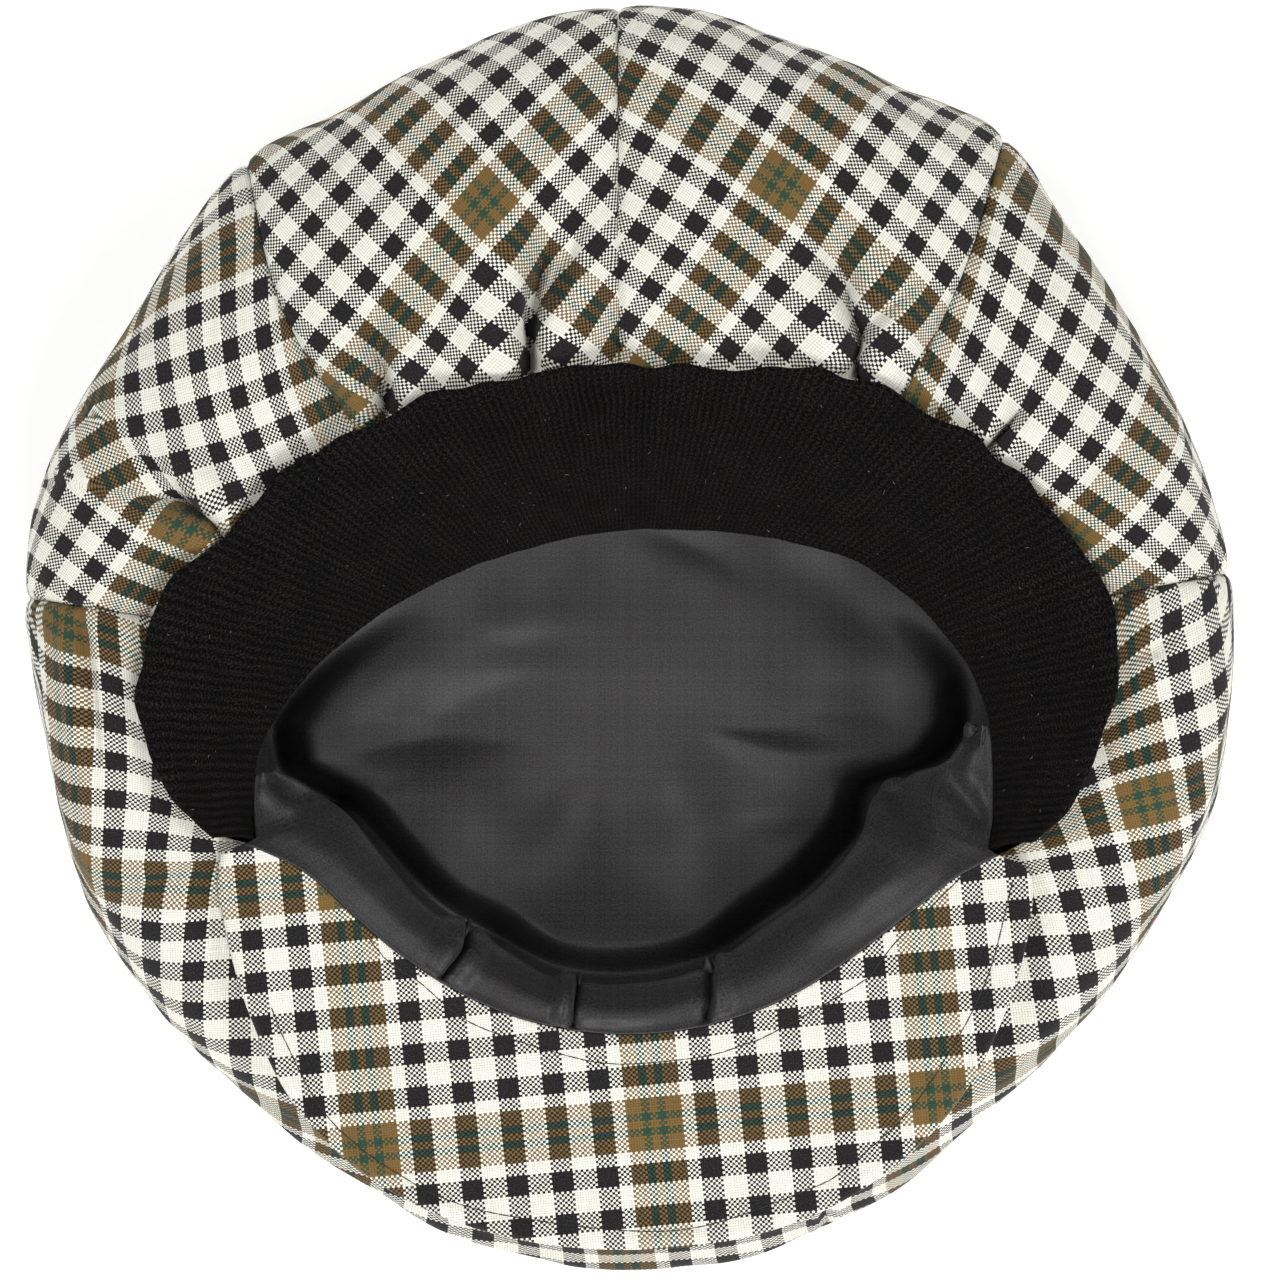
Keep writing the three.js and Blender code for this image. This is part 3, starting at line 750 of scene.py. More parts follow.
class Graph:
    """Adds nodes to a tree and joins them."""

    def __init__(self, tree: bpy.types.NodeTree) -> None:
        """Keeps the tree."""
        self.tree = tree

    def add(self, kind: str, *inputs: object, **settings: object) -> bpy.types.Node:
        """Adds a node.

        Args:
            kind: its type.
            inputs: for its inputs in order, a socket to link, a value to set or None.
            settings: its properties.

        Returns:
            The node.
        """
        node = self.tree.nodes.new(kind)
        for key, value in settings.items():
            setattr(node, key, value)
        for socket, value in zip(node.inputs, inputs):
            self.feed(socket, value)
        return node

    def feed(self, socket: bpy.types.NodeSocket, value: object) -> None:
        """Links a socket or sets its value."""
        if isinstance(value, bpy.types.NodeSocket):
            self.tree.links.new(value, socket)
        elif value is not None:
            socket.default_value = value

    def fill(self, node: bpy.types.Node, **inputs: object) -> bpy.types.Node:
        """Feeds a node's inputs by name, with _ for a space, and gives the node."""
        for label, value in inputs.items():
            self.feed(node.inputs[label.replace("_", " ")], value)
        return node

    def math(self, operation: str, *values: object) -> bpy.types.NodeSocket:
        """Adds a sum of one to three numbers, and gives its result."""
        return self.add("ShaderNodeMath", *values, operation=operation).outputs[0]

    def mix(
        self, share: object, first: object, second: object, blend: str = "MIX"
    ) -> bpy.types.NodeSocket:
        """Mixes two colours by a share, and gives the mixed colour."""
        node = self.add("ShaderNodeMix", data_type="RGBA", blend_type=blend)
        self.feed(node.inputs[0], share)
        self.feed(node.inputs[6], first)
        self.feed(node.inputs[7], second)
        return node.outputs[2]

    def span(
        self, value: object, low: float, high: float, to_low: float, to_high: float
    ) -> bpy.types.NodeSocket:
        """Maps a number from one span to another, and holds it there."""
        return self.add("ShaderNodeMapRange", value, low, high, to_low, to_high).outputs[0]

    def bump(self, shader: bpy.types.Node, height: object, strength: float, depth: float) -> None:
        """Raises a shader's surface by a height, to a depth in metres."""
        node = self.add("ShaderNodeBump")
        self.fill(node, Strength=strength, Distance=depth, Height=height)
        self.fill(shader, Normal=node.outputs[0])


def linear(red: int, green: int, blue: int) -> Colour:
    """Turns a colour of 0 to 255 as seen into the linear colour that shaders take."""
    out = []
    for value in (red, green, blue):
        share = value / 255
        out.append(share / 12.92 if share <= 0.04045 else ((share + 0.055) / 1.055) ** 2.4)
    return (*out, 1.0)


def new_group(
    kind: str, name: str, inputs: Sequence[tuple], outputs: Sequence[tuple]
) -> tuple[bpy.types.NodeTree, Graph, bpy.types.Node, bpy.types.Node]:
    """Starts a node group.

    Args:
        kind: the type of its tree.
        name: its name.
        inputs: name, socket type and any value of each input.
        outputs: name and socket type of each output.

    Returns:
        The group, its graph, its input node and its output node.
    """
    group = bpy.data.node_groups.new(name, kind)
    for label, socket_type, *value in inputs:
        socket = group.interface.new_socket(label, in_out="INPUT", socket_type=socket_type)
        if value:
            socket.default_value = value[0]
    for label, socket_type in outputs:
        group.interface.new_socket(label, in_out="OUTPUT", socket_type=socket_type)
    graph = Graph(group)
    return group, graph, graph.add("NodeGroupInput"), graph.add("NodeGroupOutput")


def place_group(graph: Graph, group: bpy.types.NodeTree, **inputs: object) -> bpy.types.Node:
    """Places a group in a material, with a value or link for each named input."""
    return graph.fill(graph.add("ShaderNodeGroup", node_tree=group), **inputs)


class Effects:
    """The effects that more than one finish uses."""

    def __init__(self) -> None:
        """Builds each group once."""
        self.weave = self._weave()
        self.fibre = self._fibre()

    def _weave(self) -> bpy.types.NodeTree:
        """Builds a plain weave: which thread lies over, its height, and a number for each."""
        group, graph, given, out = new_group(
            "ShaderNodeTree",
            "plain weave",
            [(label, "NodeSocketFloat", 0.0) for label in ("Across", "Along")],
            [(label, "NodeSocketFloat") for label in ("Over", "Height", "Thread")],
        )
        waves, counts, shades = [], [], []
        for key in ("Across", "Along"):
            count = graph.math("FLOOR", given.outputs[key])
            share = graph.math("SUBTRACT", given.outputs[key], count)
            waves.append(graph.math("SINE", graph.math("MULTIPLY", share, math.pi)))
            counts.append(count)
            noise = graph.add("ShaderNodeTexWhiteNoise", noise_dimensions="1D")
            graph.feed(noise.inputs["W"], count)
            shades.append(noise.outputs["Value"])
        over = graph.math("FLOORED_MODULO", graph.math("ADD", *counts), 2.0)
        under = graph.math("SUBTRACT", 1.0, over)
        half = [graph.math("MULTIPLY_ADD", wave, 0.5, 0.5) for wave in waves]
        one = graph.math("MULTIPLY", graph.math("MULTIPLY", waves[0], half[1]), under)
        two = graph.math("MULTIPLY", graph.math("MULTIPLY", waves[1], half[0]), over)
        shade = graph.math(
            "ADD", graph.math("MULTIPLY", shades[0], under), graph.math("MULTIPLY", shades[1], over)
        )
        graph.fill(out, Over=over, Height=graph.math("ADD", one, two), Thread=shade)
        return group

    def _fibre(self) -> bpy.types.NodeTree:
        """Builds the uneven look of fibres: fine noise over slow noise, about 0 to 1."""
        group, graph, given, out = new_group(
            "ShaderNodeTree",
            "fibre",
            [
                ("Place", "NodeSocketVector", (0.0, 0.0, 0.0)),
                ("Fine", "NodeSocketFloat", 3.0),
                ("Slow", "NodeSocketFloat", 0.05),
            ],
            [("Fine", "NodeSocketFloat"), ("Slow", "NodeSocketFloat")],
        )
        for label in ("Fine", "Slow"):
            noise = graph.add("ShaderNodeTexNoise", given.outputs["Place"])
            graph.fill(noise, Scale=given.outputs[label], Detail=2.0)
            graph.feed(out.inputs[label], noise.outputs[0])
        return group


def new_material(name: str) -> tuple[bpy.types.Material, Graph, bpy.types.Node]:
    """Starts a material, and gives it with its graph and its Principled shader."""
    material = bpy.data.materials.new(name)
    material.use_nodes = True
    material.node_tree.nodes.clear()
    graph = Graph(material.node_tree)
    shader = graph.add("ShaderNodeBsdfPrincipled")
    end = graph.add("ShaderNodeOutputMaterial")
    graph.feed(end.inputs["Surface"], shader.outputs[0])
    return material, graph, shader


def on_cloth(
    graph: Graph, effects: Effects, fine: float, slow: float
) -> tuple[bpy.types.NodeSocket, bpy.types.NodeSocket, bpy.types.Node]:
    """Starts the look of a cloth on its own UV map.

    Args:
        graph: of its material.
        effects: the shared groups.
        fine: how fine its fibres are.
        slow: how fine its slow unevenness is.

    Returns:
        The place across and along the cloth, and its fibres.
    """
    uv = graph.add("ShaderNodeUVMap", uv_map=UV_MAP).outputs[0]
    place = graph.add("ShaderNodeSeparateXYZ", uv)
    fibre = place_group(graph, effects.fibre, Place=uv, Fine=fine, Slow=slow)
    return place.outputs[0], place.outputs[1], fibre


@dataclass(frozen=True)
class CheckCloth:
    """Plain-woven wool-like cloth in a small black and cream check with a brown and green bar."""

    thread: float = 0.61
    black: Colour = linear(23, 21, 24)
    cream: Colour = linear(243, 242, 230)
    brown: Colour = linear(122, 95, 50)
    green: Colour = linear(40, 72, 56)
    fuzz: Colour = linear(150, 146, 138)
    bar_middle: float = 91.5
    relief: float = 0.00011

    @property
    def sequence(self) -> list[tuple[int, Colour]]:
        """The coloured threads of one repeat, the same in both directions."""
        black, cream, brown, green = self.black, self.cream, self.brown, self.green
        return [(8, black), (9, cream)] * 4 + [
            (8, black), (5, cream), (6, brown), (3, green), (3, brown), (3, green), (6, brown),
            (5, cream),
        ]

    @property
    def in_repeat(self) -> int:
        """The number of threads in one repeat."""
        return sum(threads for threads, _ in self.sequence)

    @property
    def repeat(self) -> float:
        """The length of one repeat, in millimetres."""
        return self.thread * self.in_repeat

    def _ramp(self, graph: Graph, count: bpy.types.NodeSocket) -> bpy.types.NodeSocket:
        """Gives the colour of a numbered thread."""
        middle = graph.math("ADD", graph.math("FLOOR", count), 0.5)
        place = graph.math("FRACT", graph.math("DIVIDE", middle, float(self.in_repeat)))
        ramp = graph.add("ShaderNodeValToRGB", place)
        ramp.color_ramp.interpolation = "CONSTANT"
        at = 0
        for number, (threads, colour) in enumerate(self.sequence):
            if number < 2:
                stop = ramp.color_ramp.elements[number]
                stop.position = at / self.in_repeat
            else:
                stop = ramp.color_ramp.elements.new(at / self.in_repeat)
            stop.color = colour
            at += threads
        return ramp.outputs[0]

    def material(self, effects: Effects) -> bpy.types.Material:
        """Builds the cloth's material on its UV map.

        Args:
            effects: the shared groups.

        Returns:
            The material.
        """
        material, graph, shader = new_material("check cloth")
        *places, fibre = on_cloth(graph, effects, 2.6, 0.05)
        sway = graph.math("MULTIPLY_ADD", fibre.outputs["Fine"], 0.5, -0.25)
        counts = []
        for place in places:
            count = graph.math("MULTIPLY_ADD", place, 1 / self.thread, self.bar_middle)
            counts.append(graph.math("ADD", count, sway))
        weave = place_group(graph, effects.weave, Across=counts[0], Along=counts[1])
        warp, weft = (self._ramp(graph, count) for count in counts)
        colour = graph.mix(weave.outputs["Over"], warp, weft)
        # Painted shade between the threads: the colour is darkened to half where a thread dips into
        # the gaps of the weave, and the threads' random tone and the slow unevenness are multiplied
        # in with it.
        gap = graph.span(weave.outputs["Height"], 0.0, 0.55, 0.5, 1.0)
        uneven = graph.span(weave.outputs["Thread"], 0.0, 1.0, 0.9, 1.04)
        slow = graph.span(fibre.outputs["Slow"], 0.3, 0.7, 0.96, 1.03)
        shade = graph.math("MULTIPLY", graph.math("MULTIPLY", gap, uneven), slow)
        gap_shade_and_tone = graph.add("ShaderNodeCombineColor", shade, shade, shade)
        colour = graph.mix(1.0, colour, gap_shade_and_tone.outputs[0], "MULTIPLY")
        fuzz = graph.span(fibre.outputs["Fine"], 0.45, 0.8, 0.0, 0.10)
        colour = graph.mix(fuzz, colour, self.fuzz)
        graph.fill(shader, Base_Color=colour, Roughness=0.92, Specular_IOR_Level=0.18)
        graph.fill(shader, Sheen_Weight=0.06, Sheen_Roughness=0.6)
        height = graph.math("MULTIPLY_ADD", fibre.outputs["Fine"], 0.5, weave.outputs["Height"])
        graph.bump(shader, height, 0.75, self.relief)
        return material


@dataclass(frozen=True)
class BlackKnit:
    """Fine ribbed black knit, fuzzy with short fibres."""

    rib: float = 2.1
    stitch: float = 1.3
    # The first colour is the dark fibres and the painted shade in the rib valleys, the second the
    # light fibres and the painted highlight on the rib tops.
    valley_shade_and_dark_fibre: Colour = linear(2, 2, 3)
    top: Colour = linear(46, 43, 41)
    relief: float = 0.0003

    def material(self, effects: Effects) -> bpy.types.Material:
        """Builds the knit's material, whose UV map counts ribs and runs along them.

        Args:
            effects: the shared groups.

        Returns:
            The material.
        """
        material, graph, shader = new_material("black knit")
        across, along, fibre = on_cloth(graph, effects, 2.2, 0.12)
        sway = graph.math("MULTIPLY_ADD", fibre.outputs["Fine"], 0.5, across)
        count = graph.math("DIVIDE", sway, self.rib)
        wave = graph.math("COSINE", graph.math("MULTIPLY", count, 2 * math.pi))
        leg = graph.math("ABSOLUTE", graph.math("SINE", graph.math("MULTIPLY", count, math.pi)))
        row = graph.math("MULTIPLY_ADD", leg, 0.5, graph.math("DIVIDE", along, self.stitch))
        loop = graph.math("SINE", graph.math("MULTIPLY", row, 2 * math.pi))
        height = graph.math("MULTIPLY_ADD", loop, 0.1, graph.math("MULTIPLY", wave, 0.12))
        height = graph.math("MULTIPLY_ADD", fibre.outputs["Fine"], 2.6, height)
        # Painted shade and highlight: the colour follows the height of the ribs and loops as well
        # as the fibre noise, darker in the valleys and lighter on the tops.
        share = graph.span(height, 1.2, 1.9, 0.0, 1.0)
        worn = graph.span(fibre.outputs["Slow"], 0.3, 0.7, 0.6, 1.0)
        colour = graph.mix(graph.math("MULTIPLY", share, worn), self.valley_shade_and_dark_fibre, self.top)
        graph.fill(shader, Base_Color=colour, Roughness=0.95, Specular_IOR_Level=0.1)
        graph.fill(shader, Sheen_Weight=0.03, Sheen_Tint=linear(140, 130, 122))
        graph.bump(shader, height, 0.8, self.relief)
        return material


@dataclass(frozen=True)
class CharcoalSatin:
    """Charcoal lining satin with a soft sheen and a fine grain."""

    thread: float = 0.32
    colour: Colour = linear(63, 61, 62)
    dark: Colour = linear(25, 24, 25)
    relief: float = 0.00006

    def material(self, effects: Effects) -> bpy.types.Material:
        """Builds the satin's material on its UV map.

        Args:
            effects: the shared groups.

        Returns:
            The material.
        """
        material, graph, shader = new_material("charcoal satin")
        *places, fibre = on_cloth(graph, effects, 2.4, 0.04)
        counts = [graph.math("DIVIDE", place, self.thread) for place in places]
        weave = place_group(graph, effects.weave, Across=counts[0], Along=counts[1])
        grain = graph.math(
            "ADD",
            graph.span(weave.outputs["Thread"], 0.0, 1.0, 0.0, 0.3),
            graph.span(fibre.outputs["Fine"], 0.35, 0.65, 0.0, 0.7),
        )
        colour = graph.mix(grain, self.dark, self.colour)
        uneven = graph.span(fibre.outputs["Slow"], 0.3, 0.7, 0.42, 0.52)
        graph.fill(shader, Base_Color=colour, Roughness=uneven, Specular_IOR_Level=0.36)
        graph.fill(shader, Sheen_Weight=0.05, Sheen_Roughness=0.4)
        graph.bump(shader, weave.outputs["Height"], 0.35, self.relief)
        return material


@dataclass(frozen=True)
class Fibres:
    """Loose or twisted fibres, such as sewing thread and lint."""

    name: str
    dark: Colour
    light: Colour

    def material(self, effects: Effects) -> bpy.types.Material:
        """Builds the fibres' material on object coordinates.

        Args:
            effects: the shared groups.

        Returns:
            The material.
        """
        material, graph, shader = new_material(self.name)
        where = graph.add("ShaderNodeTexCoord")
        fibre = place_group(
            graph, effects.fibre, Place=where.outputs["Object"], Fine=2500.0, Slow=60.0
        )
        share = graph.span(fibre.outputs["Fine"], 0.3, 0.7, 0.0, 1.0)
        graph.fill(shader, Base_Color=graph.mix(share, self.dark, self.light), Roughness=0.6)
        return material


@dataclass(frozen=True)
class Finishes:
    """The materials of the cap."""

    check: bpy.types.Material
    knit: bpy.types.Material
    satin: bpy.types.Material
    thread: bpy.types.Material
    lint: bpy.types.Material

    @classmethod
    def build(cls) -> "Finishes":
        """Builds every material on the shared effects."""
        effects = Effects()
        return cls(
            CheckCloth().material(effects),
            BlackKnit().material(effects),
            CharcoalSatin().material(effects),
            Fibres("sewing thread", linear(16, 18, 17), linear(34, 38, 36)).material(effects),
            Fibres("lint", linear(96, 96, 100), linear(150, 150, 152)).material(effects),
        )


def geometry_tree(
    name: str, **inputs: float
) -> tuple[bpy.types.NodeTree, Graph, bpy.types.Node, bpy.types.Node]:
    """Starts a Geometry Nodes tree.

    Args:
        name: its name.
        inputs: its numbers with their values; it also takes geometry and a finish.

    Returns:
        The tree, its graph, its input node and its output node.
    """
    geometry = ("Geometry", "NodeSocketGeometry")
    numbers = [(key.replace("_", " "), "NodeSocketFloat", value) for key, value in inputs.items()]
    given = [geometry, *numbers, ("Finish", "NodeSocketMaterial")]
    return new_group("GeometryNodeTree", name, given, [geometry])


def end_tree(
    graph: Graph, shape: bpy.types.NodeSocket, given: bpy.types.Node, out: bpy.types.Node
) -> None:
    """Ends a Geometry Nodes tree with real instances in the finish that it is given."""
    real = graph.add("GeometryNodeRealizeInstances", shape)
    finish = graph.add("GeometryNodeSetMaterial")
    graph.fill(finish, Geometry=real.outputs[0], Material=given.outputs["Finish"])
    graph.feed(out.inputs[0], finish.outputs[0])


def run_tree(
    piece: bpy.types.Object, tree: bpy.types.NodeTree, **inputs: object
) -> bpy.types.Mesh:
    """Runs a Geometry Nodes tree on a piece with its inputs set, and gives the plain mesh."""
    modifier = piece.modifiers.new(tree.name, "NODES")
    modifier.node_group = tree
    names = {
        item.name: item.identifier
        for item in tree.interface.items_tree
        if item.item_type == "SOCKET" and item.in_out == "INPUT"
    }
    for label, value in inputs.items():
        modifier[names[label.replace("_", " ")]] = value
    graph = bpy.context.evaluated_depsgraph_get()
    done = bpy.data.meshes.new_from_object(
        piece.evaluated_get(graph), preserve_all_data_layers=True, depsgraph=graph
    )
    piece.modifiers.clear()
    return done


@dataclass
class Stitching:
    """Stitches along a line, each a short thread that dips at both ends."""

    pitch: float = 3.0
    length: float = 3.4
    radius: float = 0.15

    def __post_init__(self) -> None:
        """Builds the tree once."""
        self.tree = self._tree()

    def _tree(self) -> bpy.types.NodeTree:
        """Builds the tree that lays stitches along a curve."""
        tree, graph, given, out = geometry_tree(
            "stitch line",
            Pitch=self.pitch * MM,
            Length=self.length * MM,
            Thread_Radius=self.radius * MM,
        )
        resample = graph.add("GeometryNodeResampleCurve", mode="LENGTH")
        graph.fill(resample, Curve=given.outputs["Geometry"], Length=given.outputs["Pitch"])
        tangent = graph.add("GeometryNodeInputTangent")
        turn = graph.add("FunctionNodeAlignRotationToVector", axis="Z")
        graph.fill(turn, Vector=tangent.outputs[0])
        ball = graph.add("GeometryNodeMeshUVSphere")
        graph.fill(ball, Segments=6, Rings=6, Radius=1.0)
        half = graph.math("MULTIPLY", given.outputs["Length"], 0.5)
        radius = given.outputs["Thread Radius"]
        size = graph.add("ShaderNodeCombineXYZ", radius, radius, half)
        lay = graph.add("GeometryNodeInstanceOnPoints")
        graph.fill(lay, Points=resample.outputs[0], Instance=ball.outputs[0])
        graph.fill(lay, Rotation=turn.outputs[0], Scale=size.outputs[0])
        end_tree(graph, lay.outputs[0], given, out)
        return tree

    def sew(self, name: str, path: Array, finish: bpy.types.Material) -> bpy.types.Object:
        """Lays stitches along a path.

        Args:
            name: the new piece's name.
            path: its points in millimetres.
            finish: the thread's material.

        Returns:
            The stitches as one mesh.
        """
        curve = bpy.data.curves.new(name + "_path", "CURVE")
        curve.dimensions = "3D"
        spline = curve.splines.new("POLY")
        spline.points.add(len(path) - 1)
        places = np.ones((len(path), 4))
        places[:, :3] = (path + SHIFT) * MM
        spline.points.foreach_set("co", places.ravel())
        line = add_object(name + "_line", curve)
        mesh = run_tree(
            line,
            self.tree,
            Pitch=self.pitch * MM,
            Length=self.length * MM,
            Thread_Radius=self.radius * MM,
            Finish=finish,
        )
        bpy.data.objects.remove(line)
        bpy.data.curves.remove(curve)
        mesh.name = name
        piece = add_object(name, mesh)
        dress(piece, finish)
        return piece


CROWN_FOLDS = (
    Crease(((-14.5, 108.0), (-17.3, 96.0), (-19.5, 86.0), (-22.0, 78.0), (-23.4, 70.0),
            (-22.9, 56.0)), 9.5, 3.8, left=0.25, right=0.3, lean=3.0, flare=1.8, fade_in=0.7),
    Crease(((-10.5, 95.0), (-13.0, 84.0), (-16.5, 77.0), (-21.5, 71.0)), 3.2, 1.7, left=0.3,
           right=0.3, fade_in=0.5, fade_out=0.3),
    Crease(((43.8, 106.0), (46.8, 87.0), (51.2, 74.4), (52.0, 66.2), (51.0, 54.0)),
           9.5, 3.8, left=0.3, right=0.25, lean=3.0, flare=1.8, fade_in=0.75),
    Crease(((68.5, 88.0), (60.5, 76.2), (54.4, 66.0)), 3.0, 2.4, left=0.3, right=0.2, lean=0.8,
           fade_in=0.8),
    Crease(((94.5, 60.5), (86.1, 48.4), (78.3, 39.6)), 6.0, 1.6, left=0.3, right=0.3, lean=1.6,
           flare=2.0, fade_in=0.8),
    Crease(((-61.2, 86.0), (-58.8, 72.8), (-57.4, 61.6), (-55.5, 49.8)), 6.4, 2.8,
           left=0.3, right=0.25, lean=1.4, flare=2.0, fade_in=0.8),
    Crease(((-120.0, 34.0), (-111.5, 32.1), (-103.4, 30.4), (-96.0, 25.8), (-88.3, 16.2)),
           8.0, 2.3, left=0.3, right=0.4, lean=2.5, flare=1.8, fade_in=0.75),
    Crease(((-118.8, 49.9), (-106.8, 38.0), (-93.3, 25.9)), 4.0, 2.1, left=0.3, right=0.2,
           lean=0.8, flare=1.6, fade_in=0.8),
    Crease(((-129.8, 7.4), (-127.0, 4.6), (-125.5, -1.4), (-124.0, -12.9), (-123.0, -23.0),
            (-121.7, -35.2)), 2.6, 2.0, left=0.4, right=0.6, fade_in=0.2, fade_out=0.4),
    Crease(((45.0, -128.4), (45.2, -145.0)), 1.6, 1.4, fade_in=0.3),
    Crease(((128.0, 6.0), (120.0, -2.0), (112.0, -6.0)), 1.8, 2.2, fade_in=0.5, fade_out=0.4),
    Crease(((-108.0, 4.6), (-101.0, 2.4), (-94.0, 1.6)), 1.6, 1.4, fade_in=0.4, fade_out=0.3),
    Crease(((-57.0, 46.8), (-60.5, 54.5), (-64.0, 63.0)), 2.0, 1.6, fade_in=0.2, fade_out=0.6),
)


@dataclass(frozen=True)
class Lay:
    """How the cloth of a crown piece lies.

    The grain is the turn of its threads in degrees, anticlockwise seen from above, and
    crossing is a place where two brown bars cross. The cone says how fast the piece widens
    outward, along is the cut's length for the length that shows, and around and gather its
    width for the width that shows, away from the opening and at it.
    """

    grain: float
    crossing: Point
    cone: float
    along: float
    around: float
    gather: float
    darts: tuple[Dart, ...] = ()


@dataclass(frozen=True)
class PanelCut:
    """One piece of the crown: its place, and how it lies from the right end to the left."""

    node: str
    start: float
    end: float
    columns: int
    middle: float
    lays: tuple[Lay, ...]
    under_peak: bool = False


class Panel(Enum):
    """The five cloth pieces of the crown."""

    BACK_LEFT = PanelCut(
        "crown_back_left", -39.2, -1.2, 140, -20,
        (Lay(50.5, (-33.5, 98.5), 0.96, 1.054, 1.11, 0.21),),
    )
    BACK_RIGHT = PanelCut(
        "crown_back_right", -1.2, 37, 140, 18,
        (Lay(52.8, (34.3, 103.0), 0.73, 1.097, 1.066, 0.05),),
    )
    SIDE_LEFT = PanelCut(
        "crown_side_left", -86.5, -39.2, 150, -63,
        (Lay(
            25.2, (-101.4, 25.6), 1.41, 1.041, 1.118, 0.144,
            (
                Dart(((-118.0, 47.0), (-104.8, 36.0), (-93.3, 25.5)), -17.4),
                Dart(
                    ((-120.0, 34.0), (-111.5, 32.1), (-103.4, 31.0), (-96.0, 27.5), (-88.3, 17.0)),
                    -27.6,
                ),
            ),
        ),),
    )
    SIDE_RIGHT = PanelCut(
        "crown_side_right", 37, 84, 150, 60,
        (Lay(-44.2, (98.8, 22.3), 1.07, 1.038, 0.982, 0.42),),
    )
    FRONT = PanelCut(
        "crown_front", 84, 273.5, 400, 180,
        (
            Lay(2.1, (117.6, -37.4), 0.864, 0.939, 0.998, 0.153),
            Lay(4.0, (-126.2, -51.3), 0.872, 0.97, 1.05, 0.135),
        ),
        under_peak=True,
    )


